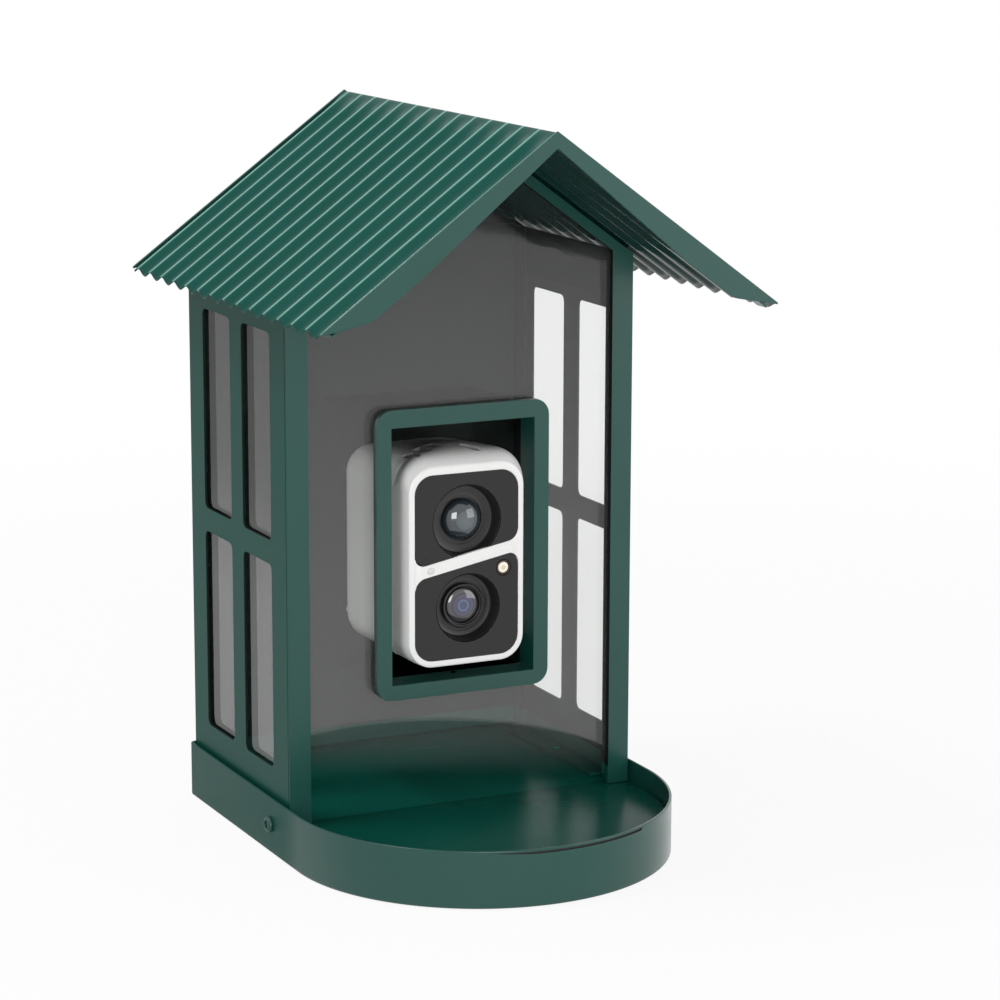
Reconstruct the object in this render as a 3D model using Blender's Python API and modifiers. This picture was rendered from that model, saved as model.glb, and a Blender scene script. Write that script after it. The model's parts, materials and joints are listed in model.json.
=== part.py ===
"""Smart bird feeder: a gable-roofed seed house on a half-round tray, with a camera behind its window.

Metres, +Z up. The house front faces -Y. X = 0 is the plane of symmetry, Y = 0 is the front face of
the house's posts and Z = 0 is the surface that the tray stands on.
"""

import math

import bmesh
import bpy
from mathutils import Matrix, Vector

# Air between neighbouring pieces, and the sheets they are made of
GAP = 0.0003
SHEET = 0.0012
FLOOR_SHEET = 0.0010
ROOF_SHEET = 0.0008
CUT_MARGIN = 0.004

# Share of a screw head's height that is chamfered
SCREW_CHAMFER_SHARE = 1 / 3

# Main sizes of the house: the other pieces take their places from these
HOUSE_HALF_WIDTH = 0.082
HOUSE_DEPTH = 0.1135
RIDGE_HEIGHT = 0.319
ROOF_SLOPE = 0.7301
ROOF_SIDE_OVERHANG = 0.021
ROOF_HALF_WIDTH = HOUSE_HALF_WIDTH + ROOF_SIDE_OVERHANG

# Camera: its two cells, its board, and the casing that they need
CELL_RADIUS = 0.0092
CELL_LENGTH = 0.065
CAMERA_FRONT_Y = -0.004
CAMERA_SPLIT_Y = 0.018
BOARD_SETBACK = 0.0035
BOARD_FRONT_Y = CAMERA_SPLIT_Y + BOARD_SETBACK
BOARD = 0.0016
CELL_FRONT_MARGIN = 0.0057
CELL_Y = BOARD_FRONT_Y + BOARD + CELL_FRONT_MARGIN + CELL_RADIUS
CELL_REAR_MARGIN = 0.0178
CAMERA_REAR_Y = CELL_Y + CELL_RADIUS + CELL_REAR_MARGIN
CELL_SIDE_MARGIN = 0.0101
CAMERA_HALF_WIDTH = 2 * CELL_RADIUS + CELL_SIDE_MARGIN
CAMERA_LOW_Z = 0.080
CELL_LOW_MARGIN = 0.014
CELL_LOW_Z = CAMERA_LOW_Z + CELL_LOW_MARGIN
CELL_HIGH_MARGIN = 0.017
CAMERA_HIGH_Z = CELL_LOW_Z + CELL_LENGTH + CELL_HIGH_MARGIN

# Tray
TRAY_SIDE_MARGIN = 0.0026
TRAY_HALF_WIDTH = HOUSE_HALF_WIDTH + TRAY_SIDE_MARGIN
TRAY_HEIGHT = 0.025
TRAY_BEND_Y = -0.0147
TRAY_REAR_MARGIN = 0.0015
TRAY_REAR_Y = HOUSE_DEPTH + TRAY_REAR_MARGIN
TRAY_CORNER = 0.003
FLOOR_TOP = 0.0155
TRAY_ARC_STEPS = 40

# Screw at each side of the tray
TRAY_SCREW_Y = 0.0168
TRAY_SCREW_Z = 0.0129
TRAY_SCREW_SHANK = 0.00125
TRAY_SCREW_HEAD = 0.0035
TRAY_SCREW_HEAD_HEIGHT = 0.0018
TRAY_SCREW_LENGTH = 0.0055

# Corrugation of the roof, which the walls stay clear of
CORRUGATION_PITCH = 0.01493
CORRUGATION_HEIGHT = 0.0030
SLOPE_STRETCH = math.hypot(1, ROOF_SLOPE)
UNDER_ROOF = CORRUGATION_HEIGHT + ROOF_SHEET * SLOPE_STRETCH + GAP

# House
HOUSE_BOTTOM = FLOOR_TOP + GAP
WALL_CLEARANCE = 0.00034
WALL_TOP = RIDGE_HEIGHT - ROOF_SLOPE * HOUSE_HALF_WIDTH - UNDER_ROOF - WALL_CLEARANCE
REAR_WALL_RISE = 0.0006
REAR_WALL_TOP = WALL_TOP + REAR_WALL_RISE
WALL_INNER_X = HOUSE_HALF_WIDTH - SHEET
POST_WIDTH = 0.010
POST_HEM = 0.0027
FRONT_FLANGE_Y = 0.012
REAR_FLANGE = 0.0115
REAR_FLANGE_Y = HOUSE_DEPTH - REAR_FLANGE
GABLE_BAND_DROP = 0.0098

# Windows in each side wall
WINDOW_COLUMNS = 2
WINDOW_ROWS = 2
WINDOW_FRONT_Y = 0.0182
WINDOW_REAR_MARGIN = 0.0169
WINDOW_MULLION = 0.0136
WINDOW_WIDTH = (HOUSE_DEPTH - WINDOW_REAR_MARGIN - WINDOW_FRONT_Y + WINDOW_MULLION) / WINDOW_COLUMNS - WINDOW_MULLION
WINDOW_LOW_Z = 0.0376
WINDOW_TOP_MARGIN = 0.0265
WINDOW_RAIL = 0.0106
WINDOW_HEIGHT = (WALL_TOP - WINDOW_TOP_MARGIN - WINDOW_LOW_Z + WINDOW_RAIL) / WINDOW_ROWS - WINDOW_RAIL
WINDOW_CORNER = 0.003
WINDOW_STEPS = 3
PANE = 0.0015
PANE_MARGIN = 0.0055
PANE_INNER_X = WALL_INNER_X - GAP - PANE

# Feet of the side walls and their rivets
FOOT_WIDTH = 0.011
FOOT_FRONT_Y = 0.014
FOOT_REAR_MARGIN = 0.0135
FOOT_REAR_Y = HOUSE_DEPTH - FOOT_REAR_MARGIN
FOOT_RIVET_INSET = 0.0075
FOOT_RIVET_X = HOUSE_HALF_WIDTH - FOOT_RIVET_INSET
FOOT_RIVET_Y = (FOOT_FRONT_Y + FOOT_REAR_Y) / 2
RIVET_SHANK = 0.0010
RIVET_HEAD = 0.0021
RIVET_HEAD_HEIGHT = 0.0009

# Clear front panel and what holds it
PANEL_FRONT_Y = 0.003
PANEL = 0.003
PANEL_INSET = 0.0045
PANEL_HALF_WIDTH = HOUSE_HALF_WIDTH - PANEL_INSET
PANEL_BOTTOM = 0.0205
RETAINER_INSET = 0.0095
RETAINER_INNER_X = HOUSE_HALF_WIDTH - RETAINER_INSET
RETAINER_TOP_MARGIN = 0.0045
RETAINER_TOP = WALL_TOP - RETAINER_TOP_MARGIN
RETAINER_FOOT = 0.0022

# Camera bezel, its seal and the clear sleeve behind it
BEZEL_SHEET = 0.0010
BEZEL_FRONT_Y = -0.0006
CAMERA_SIDE_CLEARANCE = 0.0055
CAMERA_LOW_CLEARANCE = 0.00695
CAMERA_HIGH_CLEARANCE = 0.0102
BEZEL_OPENING_HALF_WIDTH = CAMERA_HALF_WIDTH + CAMERA_SIDE_CLEARANCE
BEZEL_OPENING_LOW_Z = CAMERA_LOW_Z - CAMERA_LOW_CLEARANCE
BEZEL_OPENING_HIGH_Z = CAMERA_HIGH_Z + CAMERA_HIGH_CLEARANCE
BEZEL_SIDE_BORDER = 0.0070
BEZEL_LOW_BORDER = 0.00665
BEZEL_HIGH_BORDER = 0.0078
BEZEL_HALF_WIDTH = BEZEL_OPENING_HALF_WIDTH + BEZEL_SIDE_BORDER
BEZEL_LOW_Z = BEZEL_OPENING_LOW_Z - BEZEL_LOW_BORDER
BEZEL_HIGH_Z = BEZEL_OPENING_HIGH_Z + BEZEL_HIGH_BORDER
BEZEL_CORNER = 0.007
BEZEL_RIM_Y = 0.0016
BEZEL_LIP_Y = 0.013
SEAL_WIDTH = 0.003
SLEEVE = 0.0015
SLEEVE_REAR_MARGIN = 0.0028
SLEEVE_REAR_Y = CAMERA_REAR_Y + SLEEVE_REAR_MARGIN
SLEEVE_SCREW_Y = 0.0098
SLEEVE_SCREW_SHANK = 0.0010
SLEEVE_SCREW_HEAD = 0.0019
SLEEVE_SCREW_HEAD_HEIGHT = 0.0012
SLEEVE_SCREW_TIP = 0.0006

# Roof
EAVE_HEIGHT = RIDGE_HEIGHT - ROOF_SLOPE * ROOF_HALF_WIDTH
RIDGE_ROUND = 0.0008
ROOF_FRONT_Y = -0.0888
ROOF_REAR_OVERHANG = 0.0141
ROOF_REAR_Y = HOUSE_DEPTH + ROOF_REAR_OVERHANG
LAST_CREST_MARGIN = 0.0065
LAST_CREST_Y = ROOF_REAR_Y - LAST_CREST_MARGIN
PLAIN_RIDGE_WIDTH = 0.012
SAMPLES_PER_PITCH = 6
ROOF_STRIPS = 8
STRIP_CROWDING = 1.6
FASCIA_APEX_DEPTH = 0.007
FASCIA_DEPTH = 0.0125
FASCIA_FULL_MARGIN = 0.043
FASCIA_FULL_X = ROOF_HALF_WIDTH - FASCIA_FULL_MARGIN
FASCIA_HEEL_MARGIN = 0.0215
FASCIA_HEEL_X = ROOF_HALF_WIDTH - FASCIA_HEEL_MARGIN
FASCIA_HEEL_ROUND = 0.012
FASCIA_TIP_DEPTH = 0.0008
FASCIA_FLANGE_WIDTH = 0.0085
FASCIA_FLANGE_MARGIN = 0.005
FASCIA_FLANGE_HALF_WIDTH = ROOF_HALF_WIDTH - FASCIA_FLANGE_MARGIN
REAR_FASCIA_DEPTH = 0.0058
REAR_GABLE_INSET = 0.003
REAR_GABLE_HALF_WIDTH = HOUSE_HALF_WIDTH - REAR_GABLE_INSET
REAR_GABLE_FLANGE_HALF_WIDTH = REAR_GABLE_HALF_WIDTH - REAR_GABLE_INSET
REAR_GABLE_FLANGE_WIDTH = 0.008

# Roof hinge
HINGE_RADIUS = 0.0022
HINGE_BORE = 0.0012
HINGE_PIN = 0.0009
HINGE_HALF_LENGTH = 0.025
HINGE_RISE = 0.0005
HINGE_Y = HOUSE_DEPTH + GAP + HINGE_RADIUS
HINGE_Z = WALL_TOP + HINGE_RISE
HINGE_LEAF_HEIGHT = 0.015
HINGE_KNUCKLES = 5

# Bracket at the rear, for a wall, a pole or a strap
BRACKET_SHEET = 0.0015
BRACKET_HALF_WIDTH = 0.025
BRACKET_FOOT = 0.012
BRACKET_HEIGHT = 0.090
BRACKET_TOP_MARGIN = 0.0545
BRACKET_HIGH_Z = WALL_TOP - BRACKET_TOP_MARGIN
BRACKET_LOW_Z = BRACKET_HIGH_Z - BRACKET_HEIGHT
BRACKET_DEPTH = 0.0157
BRACKET_REAR_Y = HOUSE_DEPTH + BRACKET_DEPTH
BRACKET_SLOT_X = 0.0165
BRACKET_SLOT_WIDTH = 0.0052
BRACKET_SLOT_HEIGHT = 0.034
BRACKET_SLOT_CORNER = 0.0017
BRACKET_SCREW_SHANK = 0.0015
BRACKET_SCREW_HEAD = 0.0029
BRACKET_SCREW_HEAD_HEIGHT = 0.0020
BRACKET_SCREW_TIP = 0.0034

# Camera casing
CAMERA_CORNER = 0.0115
CAMERA_WALL = 0.0018
CAMERA_FRONT_WALL = 0.0036
CAMERA_SIDE_DRAW = 0.0014
CAMERA_SIDE_DRAW_LENGTH = 0.007
CAMERA_TOP_DRAW = 0.0078
CAMERA_TOP_DRAW_LENGTH = 0.014
CAMERA_REAR_ROUND = 0.005
REAR_ROUND_STEPS = 4
CAMERA_RING_SHARES = (0.0, 0.02, 0.08, 0.2, 0.4, 0.7, 1.0)
CASE_SEAL = 0.0012

# Black windows in the camera's face, parted by a slanted bar
FACE_SIDE_MARGIN = 0.0039
FACE_HALF_WIDTH = CAMERA_HALF_WIDTH - FACE_SIDE_MARGIN
FACE_LOW_MARGIN = 0.0030
FACE_LOW_Z = CAMERA_LOW_Z + FACE_LOW_MARGIN
FACE_HIGH_MARGIN = 0.0110
FACE_HIGH_Z = CAMERA_HIGH_Z - FACE_HIGH_MARGIN
FACE_CORNER = 0.0085
BAR_CORNER = 0.005
FACE_PANE = 0.0014
BAR_DROP = 0.0412
BAR_WIDTH = 0.0055
BAR_LOW_Z = FACE_HIGH_Z - BAR_DROP
BAR_HIGH_Z = BAR_LOW_Z + BAR_WIDTH
BAR_SLOPE = 0.19

# Upper lens: a wide cup with a dome in it
UPPER_LENS_DROP = 0.0215
UPPER_LENS_Z = FACE_HIGH_Z - UPPER_LENS_DROP
UPPER_CUP_RADIUS = 0.0160
CUP_DEPTH = 0.0075
CUP_LIP = 0.0010
UPPER_CUP_FLOOR = 0.0100
DOME_RADIUS = 0.0092
DOME_HEIGHT = 0.0052
DOME_STEPS = 6

# Lower lens: a wide cup with a barrel and a glass
LOWER_LENS_X = 0.0005
LOWER_LENS_DROP = 0.0186
LOWER_LENS_Z = BAR_LOW_Z - LOWER_LENS_DROP
LOWER_CUP_RADIUS = 0.0150
LOWER_CUP_FLOOR = 0.0104
BARREL_RADIUS = 0.0097
BARREL_BORE = 0.0080
BARREL_LENGTH = 0.010
BARREL_FRONT_Y = 0.0006
LENS_GLASS_RADIUS = 0.0076
LENS_GLASS_HEIGHT = 0.0016
LENS_GLASS_STEPS = 4

# Small things in the camera's face
STATUS_LIGHT_INSET = 0.0070
STATUS_LIGHT_DROP = 0.0023
STATUS_LIGHT_X = FACE_HALF_WIDTH - STATUS_LIGHT_INSET
STATUS_LIGHT_Z = BAR_LOW_Z - STATUS_LIGHT_DROP
STATUS_LIGHT_RADIUS = 0.0025
STATUS_RING_RADIUS = 0.0034
INDICATOR_INSET = 0.0074
INDICATOR_DROP = 0.0005
INDICATOR_X = INDICATOR_INSET - FACE_HALF_WIDTH
INDICATOR_Z = BAR_LOW_Z - INDICATOR_DROP
INDICATOR_RADIUS = 0.0009
MICROPHONE_INSET = 0.0056
MICROPHONE_RISE = 0.0022
MICROPHONE_X = MICROPHONE_INSET - FACE_HALF_WIDTH
MICROPHONE_Z = BAR_HIGH_Z + MICROPHONE_RISE
MICROPHONE_RADIUS = 0.0006
MICROPHONE_CAN_RADIUS = 0.0018
MICROPHONE_DEPTH = 0.0012

# Inside the camera
BOARD_MARGIN = 0.006
BOARD_HALF_WIDTH = CAMERA_HALF_WIDTH - BOARD_MARGIN
BOARD_END_MARGIN = 0.008
BOARD_LOW_Z = CAMERA_LOW_Z + BOARD_END_MARGIN
BOARD_HIGH_Z = CAMERA_HIGH_Z - BOARD_END_MARGIN
BOSS_RADIUS = 0.0022
BOSS_INSET = 0.0032
BOSS_BITE = 0.0007
SENSOR_HALF_WIDTH = 0.0060
SENSOR_DEPTH = 0.0050
SHELF = 0.002
SHELF_FRONT_Y = 0.028
SPEAKER_RADIUS = 0.0070
SPEAKER_DEPTH = 0.0045
SPEAKER_X = 0.0
SPEAKER_RISE = 0.0115
SPEAKER_Z = CAMERA_LOW_Z + SPEAKER_RISE
ANTENNA_WIDTH = 0.007
ANTENNA_HEIGHT = 0.040
ANTENNA = 0.0006
ANTENNA_FRONT_Y = 0.030
ANTENNA_LOW_Z = 0.110
PORT_SETBACK = 0.018
PORT_Y = CAMERA_REAR_Y - PORT_SETBACK
PORT_HALF_WIDTH = 0.0046
PORT_HALF_DEPTH = 0.0017
PORT_HEIGHT = 0.0065

# Flap over the charging port, in the camera's underside
FLAP_HALF_WIDTH = 0.011
FLAP_LENGTH = 0.0062
FLAP_SETBACK = 0.0145
FLAP_HINGE_Y = CAMERA_REAR_Y - FLAP_SETBACK
FLAP = 0.0012
FLAP_CORNER = 0.0012

# Button at the camera's rear
BUTTON_X = 0.014
BUTTON_Z = 0.150
BUTTON_RADIUS = 0.0035
BUTTON_PROUD = 0.0008
BUTTON_TRAVEL = 0.0006
BUTTON_LENGTH = 0.0042
BUTTON_COLLAR = 0.0045
SWITCH_HALF_WIDTH = 0.0028
SWITCH_DEPTH = 0.0030

# Thumb screw that holds the camera, with its thread insert and washer
THUMB_SCREW_Z = 0.128
THUMB_SHANK = 0.0031
THUMB_SHANK_REACH = 0.0070
THUMB_SHANK_TIP_Y = CAMERA_REAR_Y - THUMB_SHANK_REACH
THUMB_KNOB_RADIUS = 0.0090
THUMB_KNOB_LENGTH = 0.0075
THUMB_KNOB_GRIPS = 16
GRIP_RADIUS = 0.0010
GRIP_SIDES = 8
INSERT_RADIUS = 0.0052
INSERT_LENGTH = 0.0090
INSERT_FRONT_Y = CAMERA_REAR_Y - INSERT_LENGTH
WASHER_RADIUS = 0.0085
WASHER_THICKNESS = 0.0007

ROUND_SIDES = 24
SMALL_SIDES = 12
CUP_SIDES = 28
CORNER_STEPS = 5
WELD_DISTANCE = GAP / 100
SHARP_ANGLE = math.radians(35)

SIDES = ((-1, "left"), (1, "right"))
PIECES = "smart_bird_feeder"
CUTTERS = "cutters"


# Scene, collections and materials

def clear_scene():
    """Remove every object and make the two collections."""
    for thing in list(bpy.data.objects):
        bpy.data.objects.remove(thing, do_unlink=True)
    for title in (PIECES, CUTTERS):
        if title not in bpy.data.collections:
            bpy.context.scene.collection.children.link(bpy.data.collections.new(title))


def finish(name, colour, roughness, metallic=0.0, alpha=1.0):
    """Return a Principled BSDF material."""
    material = bpy.data.materials.new(name)
    material.use_nodes = True
    shader = material.node_tree.nodes["Principled BSDF"]
    shader.inputs["Base Color"].default_value = (*colour, 1.0)
    shader.inputs["Roughness"].default_value = roughness
    shader.inputs["Metallic"].default_value = metallic
    shader.inputs["Alpha"].default_value = alpha
    material.diffuse_color = (*colour, alpha)
    return material


def make_materials():
    """Return the finishes by name."""
    return {
        "green_paint": finish("green_paint", (0.038, 0.098, 0.082), 0.42),
        "roof_paint": finish("roof_paint", (0.026, 0.080, 0.066), 0.38),
        "clear_plastic": finish("clear_plastic", (0.80, 0.82, 0.80), 0.05, alpha=0.25),
        "white_plastic": finish("white_plastic", (0.80, 0.80, 0.79), 0.35),
        "black_window": finish("black_window", (0.025, 0.025, 0.025), 0.15),
        "black_plastic": finish("black_plastic", (0.020, 0.020, 0.020), 0.45),
        "lens_glass": finish("lens_glass", (0.05, 0.07, 0.10), 0.03),
        "light_lens": finish("light_lens", (0.85, 0.80, 0.70), 0.25),
        "steel": finish("steel", (0.55, 0.55, 0.54), 0.32, metallic=1.0),
        "brass": finish("brass", (0.72, 0.52, 0.22), 0.30, metallic=1.0),
        "rubber": finish("rubber", (0.030, 0.030, 0.030), 0.75),
        "circuit_board": finish("circuit_board", (0.02, 0.16, 0.07), 0.40),
        "cell_wrap": finish("cell_wrap", (0.05, 0.16, 0.42), 0.35),
    }


# Piece building

def new_piece(name, shape, location=(0, 0, 0)):
    """Turn a bmesh into an object in the pieces' collection."""
    bmesh.ops.recalc_face_normals(shape, faces=shape.faces)
    mesh = bpy.data.meshes.new(name)
    shape.to_mesh(mesh)
    shape.free()
    piece = bpy.data.objects.new(name, mesh)
    piece.location = location
    bpy.data.collections[PIECES].objects.link(piece)
    return piece


def box(name, low, high):
    """Add a box between two opposite corners."""
    low, high = Vector(low), Vector(high)
    shape = bmesh.new()
    bmesh.ops.create_cube(shape, size=1, matrix=Matrix.Diagonal((*(high - low), 1)))
    return new_piece(name, shape, (low + high) / 2)


def pointing(direction):
    """Return the rotation that turns +Z to a direction."""
    return Vector(direction).to_track_quat("Z", "Y").to_matrix().to_4x4()


def cylinder(name, start, end, radius, sides=ROUND_SIDES):
    """Add a closed cylinder between two points."""
    start, end = Vector(start), Vector(end)
    shape = bmesh.new()
    bmesh.ops.create_cone(shape, cap_ends=True, segments=sides, radius1=radius, radius2=radius,
                          depth=(end - start).length, matrix=pointing(end - start))
    return new_piece(name, shape, (start + end) / 2)


def rounded(corners, radii, steps=CORNER_STEPS):
    """Return an outline whose corners are arcs that touch both neighbouring edges."""
    outline = []
    for index, corner in enumerate(corners):
        radius = radii[index]
        here = Vector(corner)
        if radius <= 0:
            outline.append(here)
            continue
        to_last = (Vector(corners[index - 1]) - here).normalized()
        to_next = (Vector(corners[(index + 1) % len(corners)]) - here).normalized()
        half_angle = to_last.angle(to_next) / 2
        centre = here + (to_last + to_next).normalized() * (radius / math.sin(half_angle))
        first = here + to_last * (radius / math.tan(half_angle)) - centre
        last = here + to_next * (radius / math.tan(half_angle)) - centre
        start = math.atan2(first.y, first.x)
        turn = (math.atan2(last.y, last.x) - start + math.pi) % math.tau - math.pi
        for step in range(steps + 1):
            angle = start + turn * step / steps
            outline.append(centre + Vector((math.cos(angle), math.sin(angle))) * radius)
    return outline


def rectangle(low, high, radius=0, steps=CORNER_STEPS):
    """Return a rectangle's outline with rounded corners."""
    corners = [low, (high[0], low[1]), high, (low[0], high[1])]
    return rounded(corners, [radius] * 4, steps)


def mesh_of(piece):
    """Return an object's evaluated shape with its seams welded, and remove the object."""
    bpy.context.view_layer.update()
    evaluated = piece.evaluated_get(bpy.context.evaluated_depsgraph_get())
    mesh = bpy.data.meshes.new_from_object(evaluated)
    shape = bmesh.new()
    shape.from_mesh(mesh)
    bmesh.ops.remove_doubles(shape, verts=shape.verts, dist=WELD_DISTANCE)
    bmesh.ops.transform(shape, matrix=piece.matrix_world, verts=shape.verts)
    bpy.data.objects.remove(piece, do_unlink=True)
    return shape


def plate(name, outlines, normal, low, high):
    """Add a flat plate: outlines on the plane across an axis, thick from low to high along it.

    Outlines are (x, y) across Z, (x, z) across Y and (y, z) across X; those after the first are holes.
    """
    curve = bpy.data.curves.new(name, "CURVE")
    curve.dimensions = "2D"
    curve.fill_mode = "BOTH"
    curve.extrude = (high - low) / 2
    for outline in outlines:
        spline = curve.splines.new("POLY")
        spline.points.add(len(outline) - 1)
        for point, place in zip(spline.points, outline):
            point.co = (place[0], place[1], 0, 1)
        spline.use_cyclic_u = True
    middle = (low + high) / 2
    axes = {
        "Z": Matrix.Translation((0, 0, middle)),
        "Y": Matrix.Translation((0, middle, 0)) @ Matrix.Rotation(math.radians(90), 4, "X"),
        "X": Matrix.Translation((middle, 0, 0)) @ Matrix(((0, 0, 1, 0), (1, 0, 0, 0),
                                                           (0, 1, 0, 0), (0, 0, 0, 1))),
    }
    drawing = bpy.data.objects.new(name + "_outline", curve)
    bpy.data.collections[CUTTERS].objects.link(drawing)
    drawing.matrix_world = axes[normal]
    return new_piece(name, mesh_of(drawing))


def turned(name, profile, centre, direction, sides=ROUND_SIDES):
    """Add a turned piece: (radius, height) profile points spun about a direction through a centre."""
    shape = bmesh.new()
    corners = [shape.verts.new((radius, 0, height)) for radius, height in profile]
    for first, second in zip(corners, corners[1:]):
        shape.edges.new((first, second))
    piece = new_piece(name, shape)
    screw = piece.modifiers.new("turn", "SCREW")
    screw.steps = sides
    screw.render_steps = sides
    screw.use_merge_vertices = True
    screw.merge_threshold = WELD_DISTANCE
    piece.matrix_world = Matrix.Translation(centre) @ pointing(direction)
    return piece


def loft(name, rings):
    """Add a closed solid through rings of points that all have the same count."""
    shape = bmesh.new()
    layers = [[shape.verts.new(place) for place in ring] for ring in rings]
    for lower, upper in zip(layers, layers[1:]):
        for index in range(len(lower)):
            after = (index + 1) % len(lower)
            shape.faces.new((lower[index], lower[after], upper[after], upper[index]))
    shape.faces.new(layers[0])
    shape.faces.new(layers[-1])
    return new_piece(name, shape)


def combine(piece, others, operation):
    """Add a Boolean for each of the others, and file them as cutters."""
    for other in others:
        step = piece.modifiers.new(other.name, "BOOLEAN")
        step.operation = operation
        step.solver = "EXACT"
        step.object = other
        bpy.data.collections[PIECES].objects.unlink(other)
        bpy.data.collections[CUTTERS].objects.link(other)
        other.hide_render = True
        other.display_type = "WIRE"
    return piece


def cut(piece, *others):
    """Take the other solids away from a piece."""
    return combine(piece, others, "DIFFERENCE")


def fuse(piece, *others):
    """Join the other solids to a piece."""
    return combine(piece, others, "UNION")


# Outlines that several pieces share

def roof_line(x):
    """Return the height of the roof's top surface above a place across the house."""
    return RIDGE_HEIGHT - ROOF_SLOPE * abs(x)


def gable(half_width, bottom, drop):
    """Return a gable end's outline whose slopes lie a drop below the roof line."""
    shoulder = roof_line(half_width) - drop
    return [(-half_width, bottom), (half_width, bottom), (half_width, shoulder),
            (0, RIDGE_HEIGHT - drop), (-half_width, shoulder)]


def chevron(half_width, upper_drop, lower_drop):
    """Return the outline of a strip under both slopes of the roof."""
    upper = [(half_width, roof_line(half_width) - upper_drop), (0, RIDGE_HEIGHT - upper_drop),
             (-half_width, roof_line(half_width) - upper_drop)]
    lower = [(x, z + upper_drop - lower_drop) for x, z in reversed(upper)]
    return upper + lower


def doorway(outer, inner, bottom, outer_drop, inner_drop):
    """Return the outline of two posts under a gable band."""
    outside = gable(outer, bottom, outer_drop)[1:] + [(-outer, bottom)]
    inside = gable(inner, bottom, inner_drop)[1:] + [(-inner, bottom)]
    return outside + list(reversed(inside))


def tray_outline(inset):
    """Return the tray's outline, half round at the front, drawn in by an inset."""
    radius = TRAY_HALF_WIDTH - inset
    angles = [math.pi * step / TRAY_ARC_STEPS - math.pi / 2 for step in range(TRAY_ARC_STEPS + 1)]
    front = [(radius * math.sin(angle), TRAY_BEND_Y - radius * math.cos(angle)) for angle in angles]
    rear = [(radius, TRAY_REAR_Y - inset), (-radius, TRAY_REAR_Y - inset)]
    corner = max(TRAY_CORNER - inset, 0)
    return rounded(front + rear, [0] * len(front) + [corner, corner])


def window_outlines():
    """Return the four window outlines of a side wall, as (y, z) points."""
    outlines = []
    for column in range(WINDOW_COLUMNS):
        for row in range(WINDOW_ROWS):
            low_y = WINDOW_FRONT_Y + column * (WINDOW_WIDTH + WINDOW_MULLION)
            low_z = WINDOW_LOW_Z + row * (WINDOW_HEIGHT + WINDOW_RAIL)
            high = (low_y + WINDOW_WIDTH, low_z + WINDOW_HEIGHT)
            outlines.append(rectangle((low_y, low_z), high, WINDOW_CORNER, WINDOW_STEPS))
    return outlines


def rivet_profile(shank, grip):
    """Return a rivet's profile: a low head on each end of a shank that spans a grip."""
    return [(0, 0), (RIVET_HEAD, 0), (RIVET_HEAD, -RIVET_HEAD_HEIGHT), (shank, -RIVET_HEAD_HEIGHT),
            (shank, -RIVET_HEAD_HEIGHT - grip), (RIVET_HEAD, -RIVET_HEAD_HEIGHT - grip),
            (RIVET_HEAD, -2 * RIVET_HEAD_HEIGHT - grip), (0, -2 * RIVET_HEAD_HEIGHT - grip)]


def screw_profile(head, head_height, shank, length):
    """Return a screw's profile: a chamfered head above zero height and its shank below."""
    chamfer = head_height * SCREW_CHAMFER_SHARE
    return [(0, head_height), (head - chamfer, head_height), (head, head_height - chamfer),
            (head, 0), (shank, 0), (shank, chamfer - length), (shank - chamfer / 2, -length), (0, -length)]


# Tray

def build_tray(paint):
    """Make the tray's band, its floor pan and the two side screws."""
    tray = plate("tray", [tray_outline(0)], "Z", 0, TRAY_HEIGHT)
    pocket = plate("tray_pocket", [tray_outline(SHEET)], "Z", SHEET, TRAY_HEIGHT + CUT_MARGIN)
    floor = plate("tray_floor", [tray_outline(SHEET + GAP)], "Z", SHEET + GAP, FLOOR_TOP)
    hollow = plate("floor_hollow", [tray_outline(2 * SHEET + GAP)], "Z", -CUT_MARGIN,
                   FLOOR_TOP - FLOOR_SHEET)
    bores = []
    for owner in ("tray", "floor"):
        reach = TRAY_HALF_WIDTH + CUT_MARGIN
        bores.append(cylinder(owner + "_screw_bore", (-reach, TRAY_SCREW_Y, TRAY_SCREW_Z),
                              (reach, TRAY_SCREW_Y, TRAY_SCREW_Z), TRAY_SCREW_SHANK + GAP, SMALL_SIDES))
    cut(tray, pocket, bores[0])
    rivet_bores = [cylinder("floor_rivet_bore", (x, y, z), (x, y, 0), RIVET_SHANK + GAP, SMALL_SIDES)
                   for x, y, z in foot_rivet_places()]
    cut(floor, hollow, bores[1], *rivet_bores)

    finishes = {tray: paint["green_paint"], floor: paint["green_paint"]}
    profile = screw_profile(TRAY_SCREW_HEAD, TRAY_SCREW_HEAD_HEIGHT, TRAY_SCREW_SHANK, TRAY_SCREW_LENGTH)
    for side, word in SIDES:
        seat = (side * (TRAY_HALF_WIDTH + GAP), TRAY_SCREW_Y, TRAY_SCREW_Z)
        finishes[turned(word + "_tray_screw", profile, seat, (side, 0, 0))] = paint["steel"]
    return finishes


def foot_rivet_places():
    """Return the places of the rivets that hold the house to the tray's floor."""
    top = HOUSE_BOTTOM + SHEET + GAP + RIVET_HEAD_HEIGHT
    return [(side * FOOT_RIVET_X, FOOT_RIVET_Y, top) for side, word in SIDES]


# House

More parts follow.
